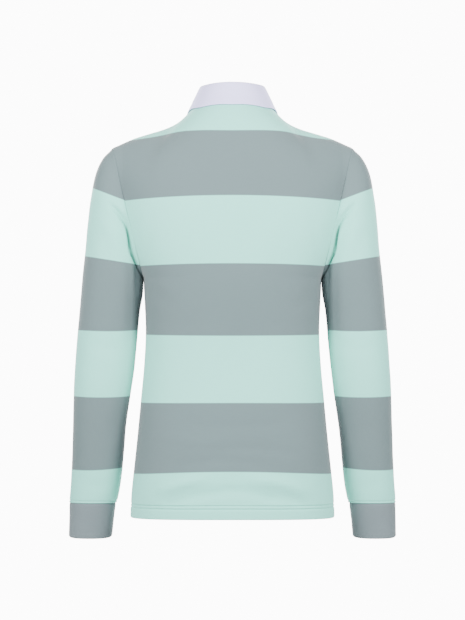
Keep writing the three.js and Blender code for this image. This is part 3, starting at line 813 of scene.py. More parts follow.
def add_noise(tree, place, scale, detail=2.0):
    node = tree.nodes.new("ShaderNodeTexNoise")
    feed(tree, node.inputs["Vector"], place)
    node.inputs["Scale"].default_value = scale
    node.inputs["Detail"].default_value = detail
    return node.outputs["Fac"]


def remap(tree, value, from_low, from_high, to_low, to_high):
    node = tree.nodes.new("ShaderNodeMapRange")
    feed(tree, node.inputs["Value"], value)
    limits = zip(("From Min", "From Max", "To Min", "To Max"), (from_low, from_high, to_low, to_high))
    for label, limit in limits:
        feed(tree, node.inputs[label], limit)
    return node.outputs["Result"]


def mix_colours(tree, share, first, second, blend="MIX"):
    """Mixes two colours. On this node the colours are the inputs numbered 6 and 7, and output 2."""
    node = tree.nodes.new("ShaderNodeMix")
    node.data_type = "RGBA"
    node.blend_type = blend
    feed(tree, node.inputs["Factor"], share)
    feed(tree, node.inputs[6], first)
    feed(tree, node.inputs[7], second)
    return node.outputs[2]


def scale_place(tree, place, x, y, z=1.0):
    node = tree.nodes.new("ShaderNodeVectorMath")
    node.operation = "MULTIPLY"
    feed(tree, node.inputs[0], place)
    node.inputs[1].default_value = (x, y, z)
    return node.outputs[0]


print("node helpers ready")

# %% Node groups
def make_bands_group():
    """Turns the stripe count into a mask: 0 on mint and 1 on grey."""
    group, start, end = new_group(
        "Yarn bands", [("Count", "Float", 0.5), ("Softness", "Float", 0.006)], [("Mask", "Float")]
    )
    shifted = calculate(group, "SUBTRACT", start.outputs["Count"], 0.5)
    wave = calculate(group, "PINGPONG", shifted, 1.0)
    low = calculate(group, "SUBTRACT", 0.5, start.outputs["Softness"])
    high = calculate(group, "ADD", 0.5, start.outputs["Softness"])
    group.links.new(remap(group, wave, low, high, 0.0, 1.0), end.inputs["Mask"])
    return group


def make_jersey_group():
    """Plain knit: each wale is a column of V shapes, two slanting legs of yarn."""
    group, start, end = new_group(
        "Jersey knit",
        [("Cloth", "Vector", None), ("Wale", "Float", 1.25), ("Course", "Float", 0.95)],
        [("Height", "Float"), ("Shade", "Float")],
    )
    split = group.nodes.new("ShaderNodeSeparateXYZ")
    group.links.new(start.outputs["Cloth"], split.inputs[0])
    wale = calculate(group, "MULTIPLY", start.outputs["Wale"], MM)
    course = calculate(group, "MULTIPLY", start.outputs["Course"], MM)
    across = calculate(group, "DIVIDE", split.outputs["X"], wale)
    along = calculate(group, "DIVIDE", split.outputs["Y"], course)
    leg = calculate(group, "PINGPONG", across, 0.5)
    leg = calculate(group, "MULTIPLY", leg, 2.0)
    rounded = calculate(group, "SINE", calculate(group, "MULTIPLY", leg, math.pi))
    slanted = calculate(group, "ADD", along, calculate(group, "MULTIPLY", leg, 0.8))
    loop = calculate(group, "SINE", calculate(group, "MULTIPLY", calculate(group, "FRACT", slanted), math.pi))
    body = remap(group, loop, 0.0, 1.0, 0.45, 1.0)
    height = calculate(group, "MULTIPLY", rounded, body)
    group.links.new(height, end.inputs["Height"])
    # Shade is painted shade: the colour is darker where the yarn lies low between the loops, and a little
    # lighter on their tops.
    group.links.new(remap(group, height, 0.0, 1.0, 0.9, 1.03), end.inputs["Shade"])
    return group


def make_twill_group():
    """Twill: fine ribs that run diagonally over the cloth."""
    group, start, end = new_group(
        "Twill weave",
        [("Cloth", "Vector", None), ("Rib", "Float", 1.1)],
        [("Height", "Float"), ("Shade", "Float")],
    )
    split = group.nodes.new("ShaderNodeSeparateXYZ")
    group.links.new(start.outputs["Cloth"], split.inputs[0])
    rib = calculate(group, "MULTIPLY", start.outputs["Rib"], MM)
    leaning = calculate(group, "MULTIPLY", split.outputs["Y"], 0.8)
    diagonal = calculate(group, "ADD", split.outputs["X"], leaning)
    ribs = calculate(group, "PINGPONG", calculate(group, "DIVIDE", diagonal, rib), 0.5)
    threads = calculate(group, "PINGPONG", calculate(group, "DIVIDE", split.outputs["X"], rib), 0.25)
    height = calculate(group, "ADD", calculate(group, "MULTIPLY", ribs, 1.6), threads)
    group.links.new(height, end.inputs["Height"])
    # Shade is painted shade: the colour is darker in the hollows between the ribs, and a little lighter on
    # their crests.
    group.links.new(remap(group, height, 0.0, 1.0, 0.93, 1.02), end.inputs["Shade"])
    return group


def make_dye_group():
    """Slow patches and small flecks in the yarn's colour, from 0 to about 1."""
    group, start, end = new_group(
        "Yarn dye",
        [("Place", "Vector", None), ("Cloth", "Vector", None), ("Amount", "Float", 0.04)],
        [("Shade", "Float"), ("Fluff", "Float")],
    )
    patches = add_noise(group, start.outputs["Place"], 9.0, 3.0)
    stretched = scale_place(group, start.outputs["Cloth"], 60.0, 900.0)
    flecks = add_noise(group, stretched, 1.0, 1.0)
    fluff = add_noise(group, start.outputs["Place"], 420.0, 2.0)
    low = calculate(group, "SUBTRACT", 1.0, start.outputs["Amount"])
    high = calculate(group, "ADD", 1.0, start.outputs["Amount"])
    first = remap(group, patches, 0.3, 0.7, low, high)
    second = remap(group, flecks, 0.3, 0.7, low, high)
    group.links.new(calculate(group, "MULTIPLY", first, second), end.inputs["Shade"])
    group.links.new(fluff, end.inputs["Fluff"])
    return group


bands_group = make_bands_group()
jersey_group = make_jersey_group()
twill_group = make_twill_group()
dye_group = make_dye_group()
print("effect groups:", [group.name for group in (bands_group, jersey_group, twill_group, dye_group)])

# %% Cloth materials
MINT = (0.215, 0.620, 0.530, 1)
GREY = (0.098, 0.142, 0.148, 1)
CUFF_GREY = (0.120, 0.155, 0.168, 1)
WHITE = (0.590, 0.565, 0.880, 1)
THREAD_MINT = (0.270, 0.640, 0.570, 1)


def place_group(tree, group, **values):
    node = tree.nodes.new("ShaderNodeGroup")
    node.node_tree = group
    for label, value in values.items():
        feed(tree, node.inputs[label], value)
    return node


def start_cloth(name, roughness, sheen):
    """A new material with matt, slightly hairy cloth, and the places its effects read."""
    material = bpy.data.materials.new(name)
    material.use_nodes = True
    tree = material.node_tree
    shader = tree.nodes["Principled BSDF"]
    shader.inputs["Roughness"].default_value = roughness
    shader.inputs["Specular IOR Level"].default_value = 0.25
    shader.inputs["Sheen Weight"].default_value = sheen
    shader.inputs["Sheen Roughness"].default_value = 0.5
    cloth = tree.nodes.new("ShaderNodeUVMap")
    cloth.uv_map = "cloth"
    place = tree.nodes.new("ShaderNodeTexCoord")
    return material, tree, shader, cloth.outputs["UV"], place.outputs["Object"]


def add_relief(tree, shader, height, fluff, depth):
    """Bump from the weave, with a little fluff over it, in metres."""
    fuzzy = calculate(tree, "ADD", height, calculate(tree, "MULTIPLY", fluff, 0.5))
    bump = tree.nodes.new("ShaderNodeBump")
    bump.inputs["Strength"].default_value = 0.55
    bump.inputs["Distance"].default_value = depth * MM
    tree.links.new(fuzzy, bump.inputs["Height"])
    tree.links.new(bump.outputs["Normal"], shader.inputs["Normal"])


def make_cloth(name, weave_group, base, dye_amount, roughness=0.88, sheen=0.18, depth=0.08, **sizes):
    """Cloth in one weave or knit. Its base is one colour, or two for stripes."""
    material, tree, shader, cloth, place = start_cloth(name, roughness, sheen)
    if len(base) == 2:
        count = tree.nodes.new("ShaderNodeAttribute")
        count.attribute_name = "band"
        bands = place_group(tree, bands_group, Count=count.outputs["Fac"])
        base = mix_colours(tree, bands.outputs["Mask"], *base)
    weave = place_group(tree, weave_group, Cloth=cloth, **sizes)
    dye = place_group(tree, dye_group, Place=place, Cloth=cloth, Amount=dye_amount)
    # The weave's Shade is painted shade in the hollows of the knit or weave. The dye's Shade is the yarn's
    # own uneven tone.
    shade = calculate(tree, "MULTIPLY", weave.outputs["Shade"], dye.outputs["Shade"])
    tree.links.new(mix_colours(tree, 1.0, base, shade, "MULTIPLY"), shader.inputs["Base Color"])
    add_relief(tree, shader, weave.outputs["Height"], dye.outputs["Fluff"], depth)
    return material


def make_thread(name, base):
    """Sewing thread: a little smoother than the cloth, and twisted."""
    material, tree, shader, cloth, place = start_cloth(name, 0.55, 0.05)
    twist = add_noise(tree, place, 1500.0, 2.0)
    shade = remap(tree, twist, 0.3, 0.7, 0.93, 1.04)
    tree.links.new(mix_colours(tree, 1.0, base, shade, "MULTIPLY"), shader.inputs["Base Color"])
    add_relief(tree, shader, twist, twist, 0.06)
    return material


striped_jersey = make_cloth("striped_jersey", jersey_group, (MINT, GREY), 0.015)
cuff_knit = make_cloth("cuff_knit", jersey_group, CUFF_GREY, 0.02, depth=0.1, Wale=1.05, Course=0.85)
collar_twill = make_cloth("collar_twill", twill_group, WHITE, 0.012, roughness=0.8, sheen=0.1, depth=0.07)
mint_thread = make_thread("mint_thread", THREAD_MINT)
white_thread = make_thread("white_thread", WHITE)
print("cloth materials made")

# %% [markdown]
# ## Back and front
# Each panel is a grid from the hem up to the neck and shoulder seams, finer near its seams and at the
# hem's stitches, where small forms are. The seams themselves stay where they are: the cloth just beside
# them puffs up a little, because the allowance is folded behind it. The hem is turned under and held by
# two rows of stitches, which sink in and pucker the cloth between them.

# %% The panels' grids
HEM_STITCHES = (18.0, 23.2)
HEM_TURN = 25.0
HEM_DETAIL = (0, 0.4, 0.9, 1.6, 3, 6, 10, 13, 15.5, 16.8, 17.5, 18, 18.5, 19.3, 20.6, 21.9, 22.7, 23.2)
HEM_DETAIL += (23.7, 24.5, 25.8, 29)
SLIT_DETAIL = (0, 0.35, 0.7, 1.0, 1.15, 1.4)
EDGE_DETAIL = (0.62, 0.44, 0.31, 0.22, 0.15, 0.09, 0.04, 0.0)
TOP_DETAIL = (0.55, 0.4, 0.28, 0.18, 0.1, 0.05, 0.02, 0.0)
BODY_ROW_HEIGHT = (ARMHOLE["inner_z"] - BODY[0]["z"]) / BODY_STEPS
PLACKET_ROWS = 7
NEAREST_ROWS = 0.004


def panel_columns():
    """Column places from the middle to the side seam, finer near the slit and the seam."""
    middle = list(np.arange(1.7, HALF_STEPS - 0.75, 0.3))
    return list(SLIT_DETAIL) + middle + [HALF_STEPS - step for step in EDGE_DETAIL]


def panel_rows():
    """Row places from the hem to the top edge."""
    hem = [height / BODY_ROW_HEIGHT for height in HEM_DETAIL]
    body = list(np.arange(1.2, BODY_STEPS, 0.2))
    armhole = list(np.arange(BODY_STEPS, TOP_ROW - 0.7, 0.25))
    top = [TOP_ROW - step for step in (PLACKET_ROWS,) + TOP_DETAIL]
    places = sorted(set(round(place, 4) for place in hem + body + armhole + top))
    gaps = np.diff([-1] + places)
    return [place for place, gap in zip(places, gaps) if gap > NEAREST_ROWS]


def panel_grid(face):
    """A panel's points, from the wearer's right to the left, and its row and column places."""
    half, rows = panel_columns(), panel_rows()
    left = np.array([[panel_point(face, column, row) for column in half] for row in rows])
    points = np.concatenate([left[:, :0:-1] * (-1, 1, 1), left], axis=1)
    return points, np.array(rows), np.array([-column for column in reversed(half[1:])] + half)


print("grid of the back:", panel_grid("back")[0].shape[:2])

# %% What a panel's cloth carries
SEAM_FADE = 14
SIDE_PUFF = 0.45
TOP_PUFF = 0.35
HEM_GROOVE = -1.5
GROOVE_WIDTH = 0.85
HEM_FULLNESS = dict(place=9, height=0.3, width=9, power=4)
HEM_FOLD = dict(place=0, height=-0.8, width=0.7)
PUCKER = dict(place=21.5, height=0.09, width=5)
PUCKER_RUN = 6.5
PUCKER_DRIFT = dict(run=31, amount=2.2)
PANEL_SEEDS = {"back": 1, "front": 2}
PANEL_WAVES = make_table(WAVE, (0, 95, 0.9), (4, 38, 0.28))


def map_panel(sheet, rows, upwards, across):
    """The knit's UV map. Courses run level over the body, and follow the cloth above the yoke's foot."""
    points, foot, middle = sheet.points, int(np.searchsorted(rows, YOKE_ROW)), upwards.shape[1] // 2
    common = upwards[:, middle:middle + 1]
    sheet.u = across - across[:, middle:middle + 1]
    for index in range(foot + 1, len(rows)):
        sheet.u[index] = np.interp(points[index, :, 0], points[foot, :, 0], sheet.u[foot])
    over_yoke = common[foot] + upwards - upwards[foot]
    sheet.v = np.where((rows <= YOKE_ROW)[:, None], common + np.zeros_like(upwards), over_yoke)


def count_panel(sheet, rows, upwards, face):
    """The stripe count over a panel."""
    points, foot = sheet.points, int(np.searchsorted(rows, YOKE_ROW))
    sheet.band = np.zeros(points.shape[:2])
    for index, row in enumerate(rows):
        if row <= BODY_STEPS:
            sheet.band[index] = body_count(mix(BODY[0]["z"], ARMHOLE["inner_z"], row / BODY_STEPS))
        elif row <= YOKE_ROW:
            sheet.band[index] = body_count(points[index, -1, 2])
        elif face == "back":
            sheet.band[index] = [yoke_count(point[0], point[2]) for point in points[index]]
        else:
            climb = (upwards[index] - upwards[foot]) / BAND_HEIGHT
            sheet.band[index] = np.maximum(sheet.band[foot] - climb, COUNT_MARGIN)


def panel_relief(sheet, upwards, across, face):
    """Creases, soft waves, puffed seams and the hem's grooves, as one height for each point."""
    from_side = np.minimum(across, across[:, -1:] - across)
    from_top = upwards[-1:] - upwards
    clear = fade(from_side, SEAM_FADE) * fade(from_top, SEAM_FADE)
    height = crease_heights(sheet.points, sheet.normals, BODY_CREASES, face) * clear
    height += soft_waves(sheet.points, PANEL_WAVES, PANEL_SEEDS[face]) * clear
    height += seam_puff(from_side, SIDE_PUFF)
    height += seam_puff(from_top, TOP_PUFF)
    for distance in HEM_STITCHES:
        height += ridge(upwards, distance, HEM_GROOVE, GROOVE_WIDTH)
    drift = PUCKER_DRIFT["amount"] * np.sin(across / PUCKER_DRIFT["run"])
    height += ridge(upwards, **PUCKER) * np.sin(across / PUCKER_RUN + drift) * clear
    height += ridge(upwards, **HEM_FULLNESS)
    height += ridge(upwards, **HEM_FOLD)
    return height


def make_panel(face):
    points, rows, columns = panel_grid(face)
    sheet = Sheet(points, middle_line(points))
    across, upwards = arc_lengths(points, 1), arc_lengths(points, 0)
    map_panel(sheet, rows, upwards, across)
    count_panel(sheet, rows, upwards, face)
    sheet.press(panel_relief(sheet, upwards, across, face))
    sheet.double = np.where(upwards < HEM_TURN, 1.0, 0.0)
    if face == "front":
        above = (rows[:-1] + rows[1:]) / 2 > TOP_ROW - PLACKET_ROWS
        beside = np.abs(columns[:-1] + columns[1:]) / 2 < 1
        sheet.keep = ~(above[:, None] & beside[None, :])
    pull_in(sheet.points[:, 0], sheet.points[:, 1])
    pull_in(sheet.points[:, -1], sheet.points[:, -2])
    pull_in(sheet.points[-1], sheet.points[-2])
    return sheet, rows


panels = {}
for face in ("back", "front"):
    sheet, rows = panels[face] = make_panel(face)
    add_cloth(face + "_cloth", face, sheet, striped_jersey)

# %% [markdown]
# ## Sleeves
# A set-in sleeve is a tube whose upper end fits the armhole, with its seam under the arm. Rings do this
# well: each ring has a size and a lean of its own, and the first one is the armhole itself. At the
# armhole the seam allowance lies inside the sleeve, so the sleeve's edge stands a little higher than the
# body's there. Low on the back the sleeve tucks in behind that seam. The last part, above the cuff, is
# turned under and stitched down.

# %% Sleeves
SIDES = {"left": 1, "right": -1}
SLEEVE_AROUND = 180
SLEEVE_RINGS = 170
SLEEVE_STITCH = 3.2
SLEEVE_TURN = 6
SLEEVE_DETAIL = (0, 0.0008, 0.002, 0.0035, 0.005, 0.007, 0.0095, 0.0125, 0.016, 0.0205)
SLEEVE_END_DETAIL = (0.026, 0.02, 0.014, 0.009, 0.0065, 0.005, 0.0035, 0.002, 0.001, 0)
SLEEVE_WAVES = make_table(WAVE, (9, 80, 0.9), (14, 30, 0.3))
SLEEVE_END = make_table(RIDGE, (SLEEVE_STITCH, -1.4, GROOVE_WIDTH), (1.3, 0.4, 1.0))
ARMHOLE_PUFF = 0.7
TUCK = dict(place=3.2, height=-6.0, width=2.0)
TUCK_TOP = -228
TUCK_RUN = 24


def sleeve_places():
    """Places from the armhole to the cuff, finer at both ends."""
    middle = np.linspace(0.026, 0.97, SLEEVE_RINGS) ** SLEEVE_SPACING
    end = [1 - step for step in SLEEVE_END_DETAIL]
    return list(SLEEVE_DETAIL) + [place for place in middle if SLEEVE_DETAIL[-1] < place < end[0]] + end


def make_tube(table, places, side):
    """A tube of cloth through a table's sections, and how far along it each point lies."""
    angles = [2 * math.pi * step / SLEEVE_AROUND for step in range(SLEEVE_AROUND)]
    rings, middles = [], []
    for place in places:
        section = read_table(table, "at", place)
        rings.append([ring_point(section, angle, SLEEVE_FULLNESS) * (side, 1, 1) for angle in angles])
        x = side * (section["outer_x"] + section["inner_x"]) / 2
        z = (section["outer_z"] + section["inner_z"]) / 2
        middles.append([(x, section["y"], z)] * SLEEVE_AROUND)
    points = np.array(rings)
    sheet = Sheet(points, np.array(middles), closed=True)
    sheet.u = arc_lengths(close_round(points), 1)
    along = arc_lengths(points, 0)
    sheet.v = -close_round(along)
    return sheet, along


def make_sleeve(side):
    sheet, from_armhole = make_tube(SLEEVE, sleeve_places(), side)
    points = sheet.points
    sheet.band = np.array([[sleeve_count(point[0], point[2]) for point in ring] for ring in points])
    from_cuff = from_armhole[-1:] - from_armhole
    height = crease_heights(points, sheet.normals, SLEEVE_CREASES, mirrored=side)
    height *= fade(from_armhole, 2.4) * fade(from_cuff, 12)
    height += soft_waves(points, SLEEVE_WAVES, side) * fade(from_armhole, 9) * fade(from_cuff, 12)
    tucked = np.clip((TUCK_TOP - points[..., 2]) / TUCK_RUN, 0, 1)
    tucked *= np.clip(sheet.normals[..., 1] * 2.5, 0, 1)
    height += seam_puff(from_armhole, ARMHOLE_PUFF) * (1 - tucked)
    height += ridge(from_armhole, **TUCK) * tucked
    sheet.press(height + ridges(from_cuff, SLEEVE_END))
    sheet.double = np.where(from_cuff < SLEEVE_TURN, 1.0, 0.0)
    pull_in(sheet.points[0], sheet.points[1])
    pull_in(sheet.points[-1], sheet.points[-2])
    return sheet


sleeves = {}
for name, side in SIDES.items():
    node = f"sleeve_{name}"
    sheet = sleeves[name] = make_sleeve(side)
    add_cloth(node + "_cloth", node, sheet, striped_jersey)

# %% [markdown]
# ## Cuffs
# The cuffs are short knitted tubes that grip the wrist. They are folded double, so they look thick and
# their lower edge is a soft round fold, not a cut edge. The same rings make them. The fold is a roll of
# the last few rings towards the inside, and the back of each cuff hangs a little lower.

# %% Cuffs
CUFF_THICKNESS = 1.9
CUFF_DROOP = 3.0
CUFF_SEAM = dict(place=0, height=-1.0, width=2.2)
CUFF_FOLD = dict(place=0, height=-1.4, width=1.1)
CUFF_WAVES = make_table(WAVE, (21, 26, 0.5))
CUFF_START_DETAIL = (0, 0.012, 0.03, 0.055, 0.09, 0.13)
CUFF_END_DETAIL = (0.93, 0.955, 0.972, 0.984, 0.992, 0.997, 1.0)


def make_cuff(side):
    places = list(CUFF_START_DETAIL) + list(np.linspace(0.18, 0.88, 14)) + list(CUFF_END_DETAIL)
    sheet, from_sleeve = make_tube(CUFF, places, side)
    from_edge = from_sleeve[-1:] - from_sleeve
    droop = CUFF_DROOP * (from_sleeve / from_sleeve[-1:]) ** 2
    sheet.points[..., 2] -= droop * np.clip(sheet.normals[..., 1], 0, 1)
    height = soft_waves(sheet.points, CUFF_WAVES, side) * fade(from_sleeve, 8)
    sheet.press(height + ridge(from_sleeve, **CUFF_SEAM) + ridge(from_edge, **CUFF_FOLD))
    return sheet


for name, side in SIDES.items():
    node = f"cuff_{name}"
    add_cloth(node + "_knit", node, make_cuff(side), cuff_knit, CUFF_THICKNESS)

# %% [markdown]
# ## Collar
# The collar has two parts: the stand, which goes up round the neck, and the leaf, which rolls over its
# top and falls back down over the seam. The leaf has to lie on the shoulders and not in them, so its
# lower points are found from the body: for each place in plan, the cloth under it is searched for, and
# the leaf is put a little above it. The front ends are cut to two points.

# %% Collar stand
STAND_SEAM = 0.012
STAND_ROWS = 12
COLLAR_THICKNESS = 1.6
TURN_STEPS = 64


def make_stand():
    half = np.linspace(0, math.pi - STAND_END_GAP, TURN_STEPS)
    turns = list(-half[:0:-1]) + list(half)
    rows = []
    for share in np.linspace(STAND_SEAM, 1, STAND_ROWS):
        rows.append([mix(neck_loop(NECK, turn), neck_loop(STAND, turn), share) for turn in turns])
    points = np.array(rows)
    sheet = Sheet(points, middle_line(points))
    sheet.u = arc_lengths(points, 1)
    sheet.v = arc_lengths(points, 0)
    return sheet


add_cloth(
    "collar_stand_cloth", "collar_stand", make_stand(), collar_twill,
    COLLAR_THICKNESS,
)

# %% Collar leaf
CAD_CLOTH = 1.6
ROLL = dict(tuck=2.0, start=1.9, height=4.4, lean=0.6, width=3.4, drop=2.4)
ROLL_POINTS = (2, 4, 5, 4, 4)
LEAF_LIFT = 1.0
LEAF_OVER_SEAM = 5.0
LEAF_STITCH = 5.0
LEAF_GROOVE = dict(place=LEAF_STITCH, height=-0.22, width=0.9)
LEAF_FOLD = dict(place=0, height=-0.3, width=0.7)
LEAF_WAVES = make_table(WAVE, (31, 40, 0.35))
LEAF = make_table(
    "turn x y",
    (-45, -53, 51), (0, 0, 71), (45, 53, 51), (90, 74, 0), (120, 74, -32), (150, 66, -62), (180, 50, -90),
)
LEAF_WAY = make_table("down way", (0, 0.3), (0.35, 0.55), (0.68, 0.8), (1, 1))
LEAF_FALLS = (0, 0.1, 0.2, 0.32, 0.45, 0.58, 0.7, 0.8, 0.88, 0.94, 0.975, 1)
SEARCH_STEP = 0.05
CLOSE_ENOUGH = 0.02


def cloth_under(x, y):
    """The body's cloth under a place in plan near the neck, for x on the wearer's left."""
    face = "back" if y >= 0 else "front"
    column = NECK_STEPS * min(x / NECK["half_width"], 1)
    row = TOP_ROW - 0.3
    point = panel_point(face, column, row)
    for attempt in range(10):
        across = (panel_point(face, column + SEARCH_STEP, row) - point) / SEARCH_STEP
        along = (panel_point(face, column, row - SEARCH_STEP) - point) / -SEARCH_STEP
        area = across[0] * along[1] - across[1] * along[0]
        miss_x, miss_y = x - point[0], y - point[1]
        column += clamp((miss_x * along[1] - miss_y * along[0]) / area, -1, 1)
        row += clamp((miss_y * across[0] - miss_x * across[1]) / area, -1, 1)
        column = max(column, SEARCH_STEP)
        point = panel_point(face, column, row)
        if math.hypot(x - point[0], y - point[1]) < CLOSE_ENOUGH:
            break
    normal = unit(np.cross(across, along))
    return point, normal if normal[2] > 0 else -normal


def smooth_line(guides, counts):
    """Points on a smooth curve through guide points, with a count for each stretch."""
    padded = pad_guides(guides)
    line = [guides[0]]
    for index, count in enumerate(counts):
        line += [curve_point(padded, index, step / count) for step in range(1, count + 1)]
    return line


def leaf_column(turn):
    """One line of the leaf on the wearer's left, from inside the roll down to its edge."""
    edge = read_table(LEAF, "turn", math.degrees(turn))
    edge_turn = math.atan2(edge["x"] / NECK["half_width"], edge["y"] / NECK["back"])
    top = neck_loop(STAND, turn)
    out = unit(np.array((math.sin(turn) / STAND["half_width"], math.cos(turn) / STAND["back"], 0)))
    up = np.array((0, 0, 1.0))
    start = top - out * CAD_CLOTH + up * ROLL["start"]
    crest = top + out * ROLL["lean"] + up * ROLL["height"]
    brow = crest + out * ROLL["width"] - up * ROLL["drop"]
    falls = []
    for down in LEAF_FALLS:
        way = read_table(LEAF_WAY, "down", down)["way"]
        seam = neck_loop(NECK, mix(turn, edge_turn, way))
        point, normal = cloth_under(mix(seam[0], edge["x"], down), mix(seam[1], edge["y"], down))
        falls.append(point + normal * (CAD_CLOTH + mix(LEAF_OVER_SEAM, LEAF_LIFT, down)))
    guides = [start - up * ROLL["tuck"], start, crest, brow, mix(brow, falls[0], 0.5), falls[0]]
    return smooth_line(np.array(guides), ROLL_POINTS) + falls[1:]


def make_leaf():
    turns = np.linspace(0, math.pi - STAND_END_GAP, TURN_STEPS)
    left = np.array([leaf_column(turn) for turn in turns]).transpose(1, 0, 2)
    points = np.concatenate([left[:, :0:-1] * (-1, 1, 1), left], axis=1)
    sheet = Sheet(points, middle_line(points, 60))
    across, down = arc_lengths(points, 1), arc_lengths(points, 0)
    sheet.u = across
    sheet.v = -down
    from_edge = down[-1:] - down
    edge = np.minimum(from_edge, np.minimum(across, across[:, -1:] - across))
    height = soft_waves(points, LEAF_WAVES) * fade(edge, 10)
    sheet.press(height + ridge(from_edge, **LEAF_GROOVE) + ridge(edge, **LEAF_FOLD))
    return sheet


leaf_sheet = make_leaf()
add_cloth(
    "collar_leaf_cloth", "collar_leaf", leaf_sheet, collar_twill,
    COLLAR_THICKNESS,
)

# %% [markdown]
# ## Placket
# The slit in the front has a strip sewn to each side. The one with the buttonholes lies over the other.
# Both are the front's own points, moved out over the cloth or in under it, so they follow the chest.

# %% Placket
PLACKET_HALF_WIDTH = 17.5
PLACKET_THICKNESS = 1.5
PLACKET_GAP = 0.3
PLACKET_STITCH = 2.6
PLACKET_EDGE = make_table(RIDGE, (PLACKET_STITCH, -0.25, 0.8), (0, -0.3, 0.6))
STRIP_HALF = (0, 4, 8, 11.5, 13.6, 14.4, 14.9, 15.4, 16.2, 17.0, PLACKET_HALF_WIDTH)
STRIP_END_DETAIL = (0, 0.02, 0.05, 0.1, 0.16, 0.24)


def front_across(x, row):
    """The front's point at a distance from its middle line, near the slit."""
    if abs(x) <= SLIT_HALF_WIDTH:
        point = panel_point("front", abs(x) / SLIT_HALF_WIDTH, row)
    else:
        slit, flare = panel_point("front", 1, row), panel_point("front", 2, row)
        point = mix(slit, flare, (abs(x) - SLIT_HALF_WIDTH) / (flare[0] - SLIT_HALF_WIDTH))
    return point * (math.copysign(1, x), 1, 1)


def make_strip(lift):
    """One side of the placket, moved out over the front or in under it."""
    bottom = TOP_ROW - PLACKET_ROWS
    rows = [bottom + step for step in STRIP_END_DETAIL]
    rows += list(np.arange(bottom + 0.35, TOP_ROW - 0.1, 0.15)) + [TOP_ROW]
    across = [-x for x in reversed(STRIP_HALF[1:])] + list(STRIP_HALF)
    points = np.array([[front_across(x, row) for x in across] for row in rows])
    sheet = Sheet(points, middle_line(points))
    sheet.u = np.array(across) + np.zeros(points.shape[:2])
    sheet.v = arc_lengths(points, 0)
    sheet.points = sheet.points + sheet.normals * lift
    if lift > 0:
        sheet.press(ridges(np.minimum(PLACKET_HALF_WIDTH - np.abs(sheet.u), sheet.v), PLACKET_EDGE))
    return sheet


placket_sheets = {}
for name, way in (("upper", 1), ("under", -1)):
    node = f"placket_{name}"
    placket_sheets[name] = make_strip(way * (CAD_CLOTH + PLACKET_GAP))
    add_cloth(
        node + "_cloth", node, placket_sheets[name], collar_twill,
        PLACKET_THICKNESS,
    )

# %% [markdown]
# ## Buttons
# Rugby shirts have flat rubber buttons that don't come off in a tackle. One is turned as a disc, with its
# top sunk inside a rounded rim and four holes for the thread. It is modelled once, lying flat, and each
# copy is then set on the placket by the way the cloth faces there. The copies' places go into their
# meshes, so that each object stays at the origin.

# %% Rubber
BUTTON_WHITE = (0.60, 0.62, 0.55, 1)


def make_rubber(name, base):
    material = bpy.data.materials.new(name)
    material.use_nodes = True
    tree = material.node_tree
    shader = tree.nodes["Principled BSDF"]
    place = tree.nodes.new("ShaderNodeTexCoord").outputs["Object"]
    patches = add_noise(tree, place, 260.0, 3.0)
    grain = add_noise(tree, place, 2600.0, 2.0)
    shade = remap(tree, patches, 0.3, 0.7, 0.965, 1.02)
    tree.links.new(mix_colours(tree, 1.0, base, shade, "MULTIPLY"), shader.inputs["Base Color"])
    tree.links.new(remap(tree, grain, 0.3, 0.7, 0.42, 0.58), shader.inputs["Roughness"])
    bump = tree.nodes.new("ShaderNodeBump")
    bump.inputs["Strength"].default_value = 0.3
    bump.inputs["Distance"].default_value = 0.05 * MM
    tree.links.new(grain, bump.inputs["Height"])
    tree.links.new(bump.outputs["Normal"], shader.inputs["Normal"])
    return material


button_rubber = make_rubber("button_rubber", BUTTON_WHITE)

# %% One button
BUTTON_RADIUS = 5.8
BUTTON_HEIGHT = 2.6
BUTTON_RIM = 1.1
BUTTON_SLOPE = 0.6
BUTTON_DISH = 0.9
BUTTON_EDGE = 0.45
HOLE_RADIUS = 0.62
HOLE_SPREAD = 1.45


def select_faces(piece, wanted):
    """Leaves only the faces selected that a test on their centre and normal picks."""
    bpy.ops.object.mode_set(mode="OBJECT")
    for item in list(piece.data.vertices) + list(piece.data.edges):
        item.select = False
    for face in piece.data.polygons:
        face.select = wanted(face)
    bpy.ops.object.mode_set(mode="EDIT")


def drill_hole(button, x, y):
    """Cuts one hole for the thread with a cylinder, and removes the cylinder again."""
    bpy.ops.mesh.primitive_cylinder_add(
        vertices=14, radius=HOLE_RADIUS * MM, depth=4 * BUTTON_HEIGHT * MM, location=(x * MM, y * MM, 0)
    )
    drill = bpy.context.object
    cut = button.modifiers.new("hole", "BOOLEAN")
    cut.operation = "DIFFERENCE"
    cut.solver = "EXACT"
    cut.object = drill
    bpy.context.view_layer.objects.active = button
    bpy.ops.object.modifier_apply(modifier="hole")
    bpy.data.objects.remove(drill)


